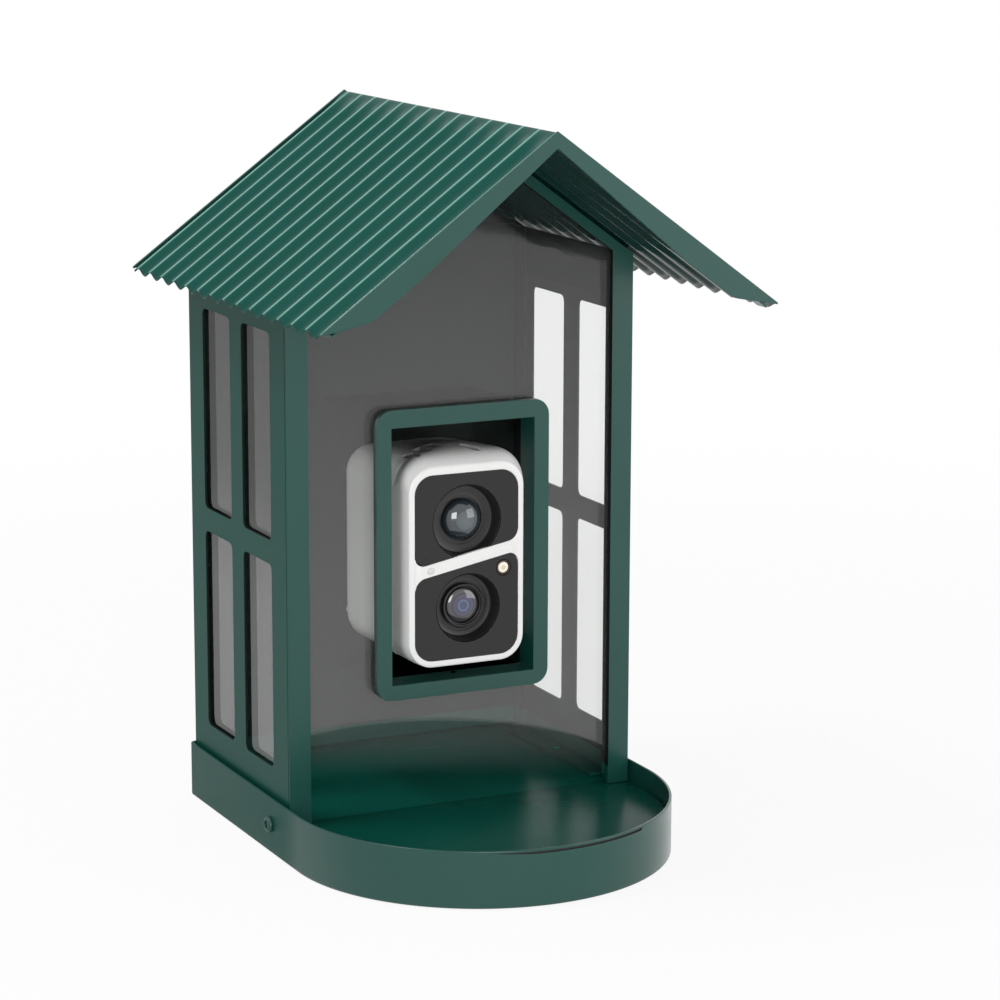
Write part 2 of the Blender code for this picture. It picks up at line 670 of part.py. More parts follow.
def build_side(paint, side, word):
    """Make one side wall with its foot, and the clear pane behind its windows."""
    wall_x = sorted((side * WALL_INNER_X, side * HOUSE_HALF_WIDTH))
    front = SHEET + GAP
    outline = rectangle((front, HOUSE_BOTTOM), (HOUSE_DEPTH, WALL_TOP))
    wall = plate(word + "_wall", [outline] + window_outlines(), "X", *wall_x)
    foot_x = sorted((side * (WALL_INNER_X - FOOT_WIDTH), side * (WALL_INNER_X + SHEET / 2)))
    foot = box(word + "_foot", (foot_x[0], FOOT_FRONT_Y, HOUSE_BOTTOM),
               (foot_x[1], FOOT_REAR_Y, HOUSE_BOTTOM + SHEET))
    fuse(wall, foot)
    bores = [cylinder(word + "_foot_bore", (x, y, 0), (x, y, z), RIVET_SHANK + GAP, SMALL_SIDES)
             for x, y, z in foot_rivet_places() if x * side > 0]
    cut(wall, *bores)
    pane_x = sorted((side * PANE_INNER_X, side * (PANE_INNER_X + PANE)))
    low_z = WINDOW_LOW_Z - PANE_MARGIN
    high_z = WALL_TOP - WINDOW_TOP_MARGIN + PANE_MARGIN
    pane = box(word + "_pane", (pane_x[0], FRONT_FLANGE_Y + GAP, low_z),
               (pane_x[1], REAR_FLANGE_Y - GAP, high_z))
    return {wall: paint["green_paint"], pane: paint["clear_plastic"]}


def build_house(paint):
    """Make the rear wall, the front frame and the rivets in the feet."""
    inner = WALL_INNER_X - GAP
    rear_face = HOUSE_DEPTH - SHEET
    rear = box("rear_wall", (-inner, rear_face, HOUSE_BOTTOM), (inner, HOUSE_DEPTH, REAR_WALL_TOP))
    for side in (-1, 1):
        flange_x = sorted((side * (inner - SHEET), side * inner))
        fuse(rear, box("rear_flange", (flange_x[0], REAR_FLANGE_Y, HOUSE_BOTTOM),
                       (flange_x[1], rear_face + SHEET / 2, WALL_TOP)))
    cut(rear, *bracket_bores("rear_wall"))

    opening = HOUSE_HALF_WIDTH - POST_WIDTH
    face = doorway(HOUSE_HALF_WIDTH, opening, HOUSE_BOTTOM, UNDER_ROOF, GABLE_BAND_DROP)
    frame = plate("front_frame", [face], "Y", 0, SHEET)
    hem_drop = GABLE_BAND_DROP - SHEET * SLOPE_STRETCH
    hem = doorway(opening + SHEET, opening, HOUSE_BOTTOM, hem_drop, GABLE_BAND_DROP)
    fuse(frame, plate("front_hem", [hem], "Y", SHEET / 2, POST_HEM))
    for side in (-1, 1):
        flange_x = sorted((side * (inner - SHEET), side * inner))
        fuse(frame, box("front_flange", (flange_x[0], SHEET / 2, HOUSE_BOTTOM + SHEET),
                        (flange_x[1], FRONT_FLANGE_Y, WALL_TOP)))

    grip = FLOOR_SHEET + SHEET + 3 * GAP
    finishes = {rear: paint["green_paint"], frame: paint["green_paint"]}
    for (side, word), place in zip(SIDES, foot_rivet_places()):
        rivet = turned(word + "_foot_rivet", rivet_profile(RIVET_SHANK, grip), place, (0, 0, 1), SMALL_SIDES)
        finishes[rivet] = paint["steel"]
    return finishes


def build_panel(paint):
    """Make the clear front panel and the two angles that hold it behind the posts."""
    outline = gable(PANEL_HALF_WIDTH, PANEL_BOTTOM, UNDER_ROOF + GAP)
    hole = BEZEL_SHEET + GAP
    hole_outline = rectangle((-BEZEL_OPENING_HALF_WIDTH - hole, BEZEL_OPENING_LOW_Z - hole),
                             (BEZEL_OPENING_HALF_WIDTH + hole, BEZEL_OPENING_HIGH_Z + hole))
    panel = plate("front_panel", [outline, hole_outline], "Y", PANEL_FRONT_Y, PANEL_FRONT_Y + PANEL)
    finishes = {panel: paint["clear_plastic"]}
    outer = WALL_INNER_X - SHEET - 2 * GAP
    rear_y = PANEL_FRONT_Y + PANEL + GAP
    low_z = PANEL_BOTTOM - GAP - RETAINER_FOOT
    for side, word in SIDES:
        leg_x = sorted((side * (outer - SHEET), side * outer))
        web_x = sorted((side * RETAINER_INNER_X, side * (outer - SHEET / 2)))
        retainer = box(word + "_panel_retainer", (leg_x[0], PANEL_FRONT_Y, low_z),
                       (leg_x[1], FRONT_FLANGE_Y, RETAINER_TOP))
        fuse(retainer,
             box(word + "_web", (web_x[0], rear_y, low_z), (web_x[1], rear_y + SHEET, RETAINER_TOP)),
             box(word + "_toe", (web_x[0], PANEL_FRONT_Y, low_z),
                 (web_x[1], rear_y + SHEET / 2, low_z + RETAINER_FOOT)))
        finishes[retainer] = paint["green_paint"]
    return finishes


# Bezel and sleeve round the camera

def bezel_rectangle(inset):
    """Return the bezel's outer outline, drawn in by an inset."""
    return rectangle((-BEZEL_HALF_WIDTH + inset, BEZEL_LOW_Z + inset),
                     (BEZEL_HALF_WIDTH - inset, BEZEL_HIGH_Z - inset), BEZEL_CORNER - inset)


def opening_rectangle(outset):
    """Return the bezel's opening, widened by an outset."""
    return rectangle((-BEZEL_OPENING_HALF_WIDTH - outset, BEZEL_OPENING_LOW_Z - outset),
                     (BEZEL_OPENING_HALF_WIDTH + outset, BEZEL_OPENING_HIGH_Z + outset))


def sleeve_bore(word):
    """Return an upright cutter for the sleeve's two screws."""
    return cylinder(word + "_screw_bore", (0, SLEEVE_SCREW_Y, BEZEL_LOW_Z), (0, SLEEVE_SCREW_Y, BEZEL_HIGH_Z),
                    SLEEVE_SCREW_SHANK + GAP, SMALL_SIDES)


def build_bezel(paint):
    """Make the bezel, the seal behind its rim, the clear sleeve and the sleeve's screws."""
    bezel = plate("camera_bezel", [bezel_rectangle(0), opening_rectangle(0)], "Y", BEZEL_FRONT_Y,
                  BEZEL_FRONT_Y + BEZEL_SHEET)
    behind = BEZEL_FRONT_Y + BEZEL_SHEET / 2
    fuse(bezel,
         plate("bezel_rim", [bezel_rectangle(0), bezel_rectangle(BEZEL_SHEET)], "Y", behind, BEZEL_RIM_Y),
         plate("bezel_lip", [opening_rectangle(BEZEL_SHEET), opening_rectangle(0)], "Y", behind, BEZEL_LIP_Y))
    cut(bezel, sleeve_bore("bezel"))
    seal = plate("bezel_seal", [bezel_rectangle(0), bezel_rectangle(SEAL_WIDTH)], "Y", BEZEL_RIM_Y + GAP,
                 PANEL_FRONT_Y - GAP)
    start = PANEL_FRONT_Y + PANEL + GAP
    clear = BEZEL_SHEET + GAP
    sleeve = plate("camera_sleeve", [opening_rectangle(clear + SLEEVE)], "Y", start, SLEEVE_REAR_Y)
    hollow = plate("sleeve_hollow", [opening_rectangle(clear)], "Y", start - CUT_MARGIN,
                   SLEEVE_REAR_Y - SLEEVE)
    hole = cylinder("sleeve_thumb_bore", (0, SLEEVE_REAR_Y - CUT_MARGIN, THUMB_SCREW_Z),
                    (0, SLEEVE_REAR_Y + CUT_MARGIN, THUMB_SCREW_Z), THUMB_SHANK + GAP)
    cut(sleeve, hollow, hole, sleeve_bore("sleeve"))
    length = SLEEVE + BEZEL_SHEET + 2 * GAP + SLEEVE_SCREW_TIP
    profile = screw_profile(SLEEVE_SCREW_HEAD, SLEEVE_SCREW_HEAD_HEIGHT, SLEEVE_SCREW_SHANK, length)
    finishes = {bezel: paint["green_paint"], seal: paint["rubber"], sleeve: paint["clear_plastic"]}
    top = BEZEL_OPENING_HIGH_Z + BEZEL_SHEET + SLEEVE + 2 * GAP
    low = BEZEL_OPENING_LOW_Z - BEZEL_SHEET - SLEEVE - 2 * GAP
    for name, z, facing in (("upper_sleeve_screw", top, 1), ("lower_sleeve_screw", low, -1)):
        screw = turned(name, profile, (0, SLEEVE_SCREW_Y, z), (0, 0, facing), SMALL_SIDES)
        finishes[screw] = paint["steel"]
    return finishes


# Roof

def build_roof_sheet(paint):
    """Make the corrugated sheet from one grid: crests run down both slopes and die out at the ridge."""
    front = ROOF_FRONT_Y + SHEET + GAP
    rear = ROOF_REAR_Y - SHEET - GAP
    samples = round((rear - front) / CORRUGATION_PITCH * SAMPLES_PER_PITCH)
    shape = bmesh.new()
    bmesh.ops.create_grid(shape, x_segments=ROOF_STRIPS, y_segments=samples, size=1)
    for corner in shape.verts:
        share_x, share_y = corner.co.x, corner.co.y
        x = math.copysign(ROOF_HALF_WIDTH * abs(share_x) ** STRIP_CROWDING, share_x)
        y = front + (rear - front) * (share_y + 1) / 2
        wave = (1 - math.cos(math.tau * (y - LAST_CREST_Y) / CORRUGATION_PITCH)) / 2
        growth = min(abs(x) / PLAIN_RIDGE_WIDTH, 1)
        z = RIDGE_HEIGHT - ROOF_SLOPE * math.hypot(x, RIDGE_ROUND) - CORRUGATION_HEIGHT * wave * growth
        corner.co = (x, y, z)
    sheet = new_piece("roof_sheet", shape)
    if sheet.data.polygons[0].normal.z < 0:
        sheet.data.flip_normals()
    thickness = sheet.modifiers.new("thickness", "SOLIDIFY")
    thickness.thickness = ROOF_SHEET
    thickness.offset = -1
    return {sheet: paint["roof_paint"]}


def fascia_outline(apex_depth, depth, heel_x, heel_round):
    """Return a fascia's outline: the roof line above, and a lower edge that turns level near each tip."""
    tip = (ROOF_HALF_WIDTH, EAVE_HEIGHT)
    right = [tip, (ROOF_HALF_WIDTH, EAVE_HEIGHT - FASCIA_TIP_DEPTH), (heel_x, roof_line(heel_x) - depth),
             (FASCIA_FULL_X, roof_line(FASCIA_FULL_X) - depth)]
    left = [(-x, z) for x, z in reversed(right)]
    corners = [(0, RIDGE_HEIGHT)] + right + [(0, RIDGE_HEIGHT - apex_depth)] + left
    return rounded(corners, [0, 0, 0, heel_round, 0, 0, 0, heel_round, 0, 0])


def build_fascias(paint):
    """Make the fascia at each end of the roof, with its flange under the sheet."""
    flange = chevron(FASCIA_FLANGE_HALF_WIDTH, UNDER_ROOF, UNDER_ROOF + SHEET * SLOPE_STRETCH)
    front = plate("roof_front_fascia", [fascia_outline(FASCIA_APEX_DEPTH, FASCIA_DEPTH, FASCIA_HEEL_X,
                                                       FASCIA_HEEL_ROUND)],
                  "Y", ROOF_FRONT_Y, ROOF_FRONT_Y + SHEET)
    fuse(front, plate("front_flange_strip", [flange], "Y", ROOF_FRONT_Y + SHEET / 2,
                      ROOF_FRONT_Y + FASCIA_FLANGE_WIDTH))
    rear = plate("roof_rear_fascia", [fascia_outline(REAR_FASCIA_DEPTH, REAR_FASCIA_DEPTH,
                                                     FASCIA_HEEL_X + FASCIA_DEPTH, 0)],
                 "Y", ROOF_REAR_Y - SHEET, ROOF_REAR_Y)
    fuse(rear, plate("rear_flange_strip", [flange], "Y", ROOF_REAR_Y - FASCIA_FLANGE_WIDTH,
                     ROOF_REAR_Y - SHEET / 2))
    return {front: paint["green_paint"], rear: paint["green_paint"]}


def build_rear_gable(paint):
    """Make the plate that closes the rear gable and lifts with the roof."""
    outer_face = HOUSE_DEPTH - SHEET
    outline = gable(REAR_GABLE_HALF_WIDTH, REAR_WALL_TOP + GAP, UNDER_ROOF)
    closure = plate("rear_gable_plate", [outline], "Y", outer_face, HOUSE_DEPTH)
    strip = chevron(REAR_GABLE_FLANGE_HALF_WIDTH, UNDER_ROOF, UNDER_ROOF + SHEET * SLOPE_STRETCH)
    fuse(closure, plate("gable_flange_strip", [strip], "Y", outer_face - REAR_GABLE_FLANGE_WIDTH,
                        outer_face + SHEET / 2))
    return {closure: paint["green_paint"]}


# Roof hinge

def build_leaf(name, side, first):
    """Make one hinge leaf: a plate above (1) or below (-1) the axis with every second knuckle."""
    pitch = 2 * HINGE_HALF_LENGTH / HINGE_KNUCKLES
    leaf_y = (HOUSE_DEPTH + GAP, HOUSE_DEPTH + GAP + SHEET)
    near = HINGE_Z + side * (HINGE_RADIUS + 2 * GAP)
    plate_z = sorted((near, HINGE_Z + side * HINGE_LEAF_HEIGHT))
    leaf = box(name, (-HINGE_HALF_LENGTH, leaf_y[0], plate_z[0]), (HINGE_HALF_LENGTH, leaf_y[1], plate_z[1]))
    for index in range(first, HINGE_KNUCKLES, 2):
        low_x = -HINGE_HALF_LENGTH + index * pitch + GAP / 2
        high_x = low_x + pitch - GAP
        tab_z = sorted((HINGE_Z, near + side * SHEET))
        fuse(leaf,
             box(name + "_tab", (low_x, leaf_y[0], tab_z[0]), (high_x, leaf_y[1], tab_z[1])),
             cylinder(name + "_knuckle", (low_x, HINGE_Y, HINGE_Z), (high_x, HINGE_Y, HINGE_Z), HINGE_RADIUS))
    reach = HINGE_HALF_LENGTH + CUT_MARGIN
    bore = cylinder(name + "_bore", (-reach, HINGE_Y, HINGE_Z), (reach, HINGE_Y, HINGE_Z), HINGE_BORE)
    return cut(leaf, bore)


def build_hinge(paint):
    """Make the two leaves and the pin of the roof's hinge."""
    finishes = {}
    for name, side, first in (("wall_hinge_leaf", -1, 0), ("roof_hinge_leaf", 1, 1)):
        finishes[build_leaf(name, side, first)] = paint["steel"]
    reach = HINGE_HALF_LENGTH + SHEET
    pin = cylinder("hinge_pin", (-reach, HINGE_Y, HINGE_Z), (reach, HINGE_Y, HINGE_Z), HINGE_PIN, SMALL_SIDES)
    finishes[pin] = paint["steel"]
    return finishes


# Rear bracket

def bracket_screw_spots():
    """Return the (x, z) places of the bracket's two screws."""
    x = BRACKET_HALF_WIDTH + BRACKET_FOOT / 2
    return [(side * x, (BRACKET_LOW_Z + BRACKET_HIGH_Z) / 2) for side, word in SIDES]


def bracket_bores(word):
    """Return cutters for the bracket's screws."""
    return [cylinder(word + "_bracket_bore", (x, HOUSE_DEPTH - CUT_MARGIN, z), (x, HOUSE_DEPTH + CUT_MARGIN, z),
                     BRACKET_SCREW_SHANK + GAP, SMALL_SIDES) for x, z in bracket_screw_spots()]


def build_bracket(paint):
    """Make the hat-shaped bracket with its strap slots and its two screws."""
    foot_y = HOUSE_DEPTH + GAP
    outer = BRACKET_HALF_WIDTH + BRACKET_FOOT
    leg = BRACKET_HALF_WIDTH - BRACKET_SHEET
    half = [(outer, foot_y), (outer, foot_y + BRACKET_SHEET), (BRACKET_HALF_WIDTH, foot_y + BRACKET_SHEET),
            (BRACKET_HALF_WIDTH, BRACKET_REAR_Y)]
    inner = [(leg, BRACKET_REAR_Y - BRACKET_SHEET), (leg, foot_y)]
    section = half + [(-x, y) for x, y in reversed(half)] + [(-x, y) for x, y in reversed(inner)] + inner
    bracket = plate("rear_bracket", [section], "Z", BRACKET_LOW_Z, BRACKET_HIGH_Z)
    middle_z = (BRACKET_LOW_Z + BRACKET_HIGH_Z) / 2
    for side in (-1, 1):
        slot = rectangle((side * BRACKET_SLOT_X - BRACKET_SLOT_WIDTH / 2, middle_z - BRACKET_SLOT_HEIGHT / 2),
                         (side * BRACKET_SLOT_X + BRACKET_SLOT_WIDTH / 2, middle_z + BRACKET_SLOT_HEIGHT / 2),
                         BRACKET_SLOT_CORNER)
        cut(bracket, plate("strap_slot", [slot], "Y", BRACKET_REAR_Y - CUT_MARGIN, BRACKET_REAR_Y + CUT_MARGIN))
    cut(bracket, *bracket_bores("bracket"))
    head_y = foot_y + BRACKET_SHEET + GAP
    length = BRACKET_SHEET + SHEET + 2 * GAP + BRACKET_SCREW_TIP
    profile = screw_profile(BRACKET_SCREW_HEAD, BRACKET_SCREW_HEAD_HEIGHT, BRACKET_SCREW_SHANK, length)
    finishes = {bracket: paint["green_paint"]}
    for (side, word), (x, z) in zip(SIDES, bracket_screw_spots()):
        finishes[turned(word + "_bracket_screw", profile, (x, head_y, z), (0, 1, 0), SMALL_SIDES)] = paint["steel"]
    return finishes


# Camera casing

def case_ring(y, side_draw, top_draw, wall):
    """Return the casing's section at a depth, drawn in at the sides and the top, less a wall."""
    half_width = CAMERA_HALF_WIDTH - side_draw - wall
    low = CAMERA_LOW_Z + side_draw + wall
    high = CAMERA_HIGH_Z - top_draw - wall
    radius = CAMERA_CORNER - wall
    return [(x, y, z) for x, z in rectangle((-half_width, low), (half_width, high), radius)]


def front_rings(wall, front, back):
    """Return the sections from the face back to the casing's seam."""
    rings = []
    for share in CAMERA_RING_SHARES:
        y = front + (CAMERA_FRONT_Y + CAMERA_TOP_DRAW_LENGTH - front) * share
        along_side = min((y - CAMERA_FRONT_Y) / CAMERA_SIDE_DRAW_LENGTH, 1)
        along_top = min((y - CAMERA_FRONT_Y) / CAMERA_TOP_DRAW_LENGTH, 1)
        side_draw = CAMERA_SIDE_DRAW * (1 - along_side) ** 2
        top_draw = CAMERA_TOP_DRAW * (1 - along_top) ** 2
        rings.append(case_ring(y, side_draw, top_draw, wall))
    return rings + [case_ring(back, 0, 0, wall)]


def rear_rings(wall, front, back):
    """Return the sections from the casing's seam to its rounded rear."""
    rings = [case_ring(front, 0, 0, wall)]
    for step in range(REAR_ROUND_STEPS + 1):
        angle = math.radians(90) * step / REAR_ROUND_STEPS
        inset = CAMERA_REAR_ROUND * (1 - math.cos(angle))
        y = back - CAMERA_REAR_ROUND * (1 - math.sin(angle))
        rings.append(case_ring(y, inset, inset, wall))
    return rings


def bar_line(x, height):
    """Return the height of the slanted bar's edge at a place across the face."""
    return height + BAR_SLOPE * x


def window_outline(upper, inset):
    """Return the outline of the upper or the lower black window, drawn in by an inset."""
    half = FACE_HALF_WIDTH - inset
    slant = inset * math.hypot(1, BAR_SLOPE)
    if upper:
        low = BAR_HIGH_Z + slant
        corners = [(-half, bar_line(-half, low)), (half, bar_line(half, low)), (half, FACE_HIGH_Z - inset),
                   (-half, FACE_HIGH_Z - inset)]
        radii = [BAR_CORNER - inset, BAR_CORNER - inset, FACE_CORNER - inset, FACE_CORNER - inset]
    else:
        high = BAR_LOW_Z - slant
        corners = [(-half, FACE_LOW_Z + inset), (half, FACE_LOW_Z + inset), (half, bar_line(half, high)),
                   (-half, bar_line(-half, high))]
        radii = [FACE_CORNER - inset, FACE_CORNER - inset, BAR_CORNER - inset, BAR_CORNER - inset]
    return rounded(corners, radii)


def across(name, x, z, radius, low_y, high_y, sides=ROUND_SIDES):
    """Add a cylinder that runs from front to rear."""
    return cylinder(name, (x, low_y, z), (x, high_y, z), radius, sides)


def build_front_shell(paint):
    """Make the casing's front shell with its window seats, lens openings and bosses for the board."""
    seam = CAMERA_SPLIT_Y - GAP / 2
    shell = loft("camera_front_shell", front_rings(0, CAMERA_FRONT_Y, seam))
    inside = CAMERA_FRONT_Y + CAMERA_FRONT_WALL
    hollow = loft("front_hollow", front_rings(CAMERA_WALL, inside, seam + CUT_MARGIN))
    seats = []
    for upper in (True, False):
        seats.append(plate("window_seat", [window_outline(upper, -GAP)], "Y", CAMERA_FRONT_Y - CUT_MARGIN,
                           CAMERA_FRONT_Y + FACE_PANE + GAP))
    far = CAMERA_FRONT_Y + CAMERA_FRONT_WALL + CUT_MARGIN
    near = CAMERA_FRONT_Y - CUT_MARGIN
    holes = [
        across("upper_cup_hole", 0, UPPER_LENS_Z, UPPER_CUP_RADIUS + GAP, near, far, CUP_SIDES),
        across("lower_cup_hole", LOWER_LENS_X, LOWER_LENS_Z, LOWER_CUP_RADIUS + GAP, near, far, CUP_SIDES),
        across("light_hole", STATUS_LIGHT_X, STATUS_LIGHT_Z, STATUS_LIGHT_RADIUS + GAP, near, far, SMALL_SIDES),
        across("indicator_hole", INDICATOR_X, INDICATOR_Z, INDICATOR_RADIUS + GAP, near, far, SMALL_SIDES),
        across("microphone_hole", MICROPHONE_X, MICROPHONE_Z, MICROPHONE_RADIUS, near, far, SMALL_SIDES),
    ]
    cut(shell, hollow)
    for x in (-BOARD_HALF_WIDTH + BOSS_INSET, BOARD_HALF_WIDTH - BOSS_INSET):
        for z in (BOARD_LOW_Z + BOSS_INSET, BOARD_HIGH_Z - BOSS_INSET):
            root = CAMERA_FRONT_Y + CAMERA_FRONT_WALL - BOSS_BITE
            fuse(shell, across("board_boss", x, z, BOSS_RADIUS, root, BOARD_FRONT_Y - GAP, SMALL_SIDES))
    cut(shell, *seats, *holes)
    return {shell: paint["white_plastic"]}


def build_rear_shell(paint):
    """Make the casing's rear shell with the openings for port, flap, button and insert, and its seal."""
    seam = CAMERA_SPLIT_Y + GAP / 2
    shell = loft("camera_rear_shell", rear_rings(0, seam, CAMERA_REAR_Y))
    hollow = loft("rear_hollow", rear_rings(CAMERA_WALL, seam - CUT_MARGIN, CAMERA_REAR_Y - CAMERA_WALL))
    near = CAMERA_REAR_Y - 2 * CAMERA_WALL
    far = CAMERA_REAR_Y + CUT_MARGIN
    flap_seat = plate("flap_seat", [flap_outline(-GAP)], "Z", CAMERA_LOW_Z - CUT_MARGIN,
                      CAMERA_LOW_Z + FLAP + GAP)
    port_hole = box("port_hole",
                    (-PORT_HALF_WIDTH - GAP, PORT_Y - PORT_HALF_DEPTH - GAP, CAMERA_LOW_Z - CUT_MARGIN),
                    (PORT_HALF_WIDTH + GAP, PORT_Y + PORT_HALF_DEPTH + GAP, CAMERA_LOW_Z + CUT_MARGIN))
    holes = [
        across("button_hole", BUTTON_X, BUTTON_Z, BUTTON_RADIUS + GAP, near, far),
        across("insert_hole", 0, THUMB_SCREW_Z, INSERT_RADIUS + GAP, near, far),
    ]
    cut(shell, hollow, flap_seat, port_hole, *holes)
    shelf_x = CAMERA_HALF_WIDTH - CAMERA_WALL / 2
    for low_z in (CELL_LOW_Z - GAP - SHELF, CELL_LOW_Z + CELL_LENGTH + GAP):
        fuse(shell, box("cell_shelf", (-shelf_x, SHELF_FRONT_Y, low_z),
                        (shelf_x, CAMERA_REAR_Y - CAMERA_WALL / 2, low_z + SHELF)))

    seal = loft("case_seal", [case_ring(CAMERA_SPLIT_Y - CAMERA_WALL, 0, 0, CAMERA_WALL + GAP),
                              case_ring(CAMERA_SPLIT_Y + CAMERA_WALL, 0, 0, CAMERA_WALL + GAP)])
    core = loft("seal_core", [case_ring(CAMERA_SPLIT_Y - 2 * CAMERA_WALL, 0, 0, CAMERA_WALL + GAP + CASE_SEAL),
                              case_ring(CAMERA_SPLIT_Y + 2 * CAMERA_WALL, 0, 0, CAMERA_WALL + GAP + CASE_SEAL)])
    cut(seal, core)

    return {shell: paint["white_plastic"], seal: paint["rubber"]}


# Camera face

def crown(radius, height, steps):
    """Return the profile of a low dome, from its top down to its edge."""
    angles = [math.radians(90) * step / steps for step in range(steps + 1)]
    return [(radius * math.sin(angle), height * math.cos(angle)) for angle in angles]


def build_face(paint):
    """Make the two black windows, the cups, the dome, the lens and the small lights."""
    front = CAMERA_FRONT_Y
    back = CAMERA_FRONT_Y + FACE_PANE
    near, far = front - CUT_MARGIN, back + CUT_MARGIN
    upper = plate("upper_window", [window_outline(True, 0)], "Y", front, back)
    cut(upper, across("upper_window_hole", 0, UPPER_LENS_Z, UPPER_CUP_RADIUS + GAP, near, far, CUP_SIDES))
    lower = plate("lower_window", [window_outline(False, 0)], "Y", front, back)
    cut(lower,
        across("lower_window_hole", LOWER_LENS_X, LOWER_LENS_Z, LOWER_CUP_RADIUS + GAP, near, far, CUP_SIDES),
        across("window_light_hole", STATUS_LIGHT_X, STATUS_LIGHT_Z, STATUS_RING_RADIUS + GAP, near, far,
               SMALL_SIDES))
    finishes = {upper: paint["black_window"], lower: paint["black_window"]}

    cups = (("upper_lens_cup", 0, UPPER_LENS_Z, UPPER_CUP_RADIUS, UPPER_CUP_FLOOR),
            ("lower_lens_cup", LOWER_LENS_X, LOWER_LENS_Z, LOWER_CUP_RADIUS, LOWER_CUP_FLOOR))
    for name, x, z, radius, floor_radius in cups:
        profile = [(radius - CUP_LIP, 0), (radius, 0), (radius, -CUP_DEPTH), (floor_radius, -CUP_DEPTH),
                   (floor_radius, CUP_LIP - CUP_DEPTH), (radius - CUP_LIP, 0)]
        finishes[turned(name, profile, (x, front, z), (0, -1, 0), CUP_SIDES)] = paint["black_plastic"]

    dome_profile = crown(DOME_RADIUS, DOME_HEIGHT, DOME_STEPS) + [(DOME_RADIUS, -CUP_LIP), (0, -CUP_LIP)]
    dome_y = front + CUP_DEPTH - CUP_LIP
    dome = turned("upper_lens_dome", dome_profile, (0, dome_y, UPPER_LENS_Z), (0, -1, 0))
    finishes[dome] = paint["lens_glass"]

    barrel_centre = (LOWER_LENS_X, BARREL_FRONT_Y, LOWER_LENS_Z)
    barrel = turned("lower_lens_barrel",
                    [(BARREL_BORE, 0), (BARREL_RADIUS, 0), (BARREL_RADIUS, -BARREL_LENGTH),
                     (BARREL_BORE, -BARREL_LENGTH), (BARREL_BORE, 0)], barrel_centre, (0, -1, 0))
    finishes[barrel] = paint["black_plastic"]
    glass_profile = crown(LENS_GLASS_RADIUS, LENS_GLASS_HEIGHT, LENS_GLASS_STEPS)
    glass_profile += [(LENS_GLASS_RADIUS, -LENS_GLASS_HEIGHT), (0, -LENS_GLASS_HEIGHT)]
    glass_centre = (LOWER_LENS_X, BARREL_FRONT_Y + LENS_GLASS_HEIGHT, LOWER_LENS_Z)
    finishes[turned("lower_lens_glass", glass_profile, glass_centre, (0, -1, 0))] = paint["lens_glass"]

    light = across("status_light", STATUS_LIGHT_X, STATUS_LIGHT_Z, STATUS_LIGHT_RADIUS, front,
                   front + CAMERA_FRONT_WALL, SMALL_SIDES)
    ring = turned("status_light_ring", [(STATUS_LIGHT_RADIUS + GAP, 0), (STATUS_RING_RADIUS, 0),
                                        (STATUS_RING_RADIUS, -FACE_PANE), (STATUS_LIGHT_RADIUS + GAP, -FACE_PANE),
                                        (STATUS_LIGHT_RADIUS + GAP, 0)],
                  (STATUS_LIGHT_X, front, STATUS_LIGHT_Z), (0, -1, 0), SMALL_SIDES)
    indicator = across("indicator_light", INDICATOR_X, INDICATOR_Z, INDICATOR_RADIUS, front,
                       front + CAMERA_FRONT_WALL, SMALL_SIDES)
    finishes.update({light: paint["light_lens"], ring: paint["brass"], indicator: paint["light_lens"]})
    return finishes


# Inside the camera

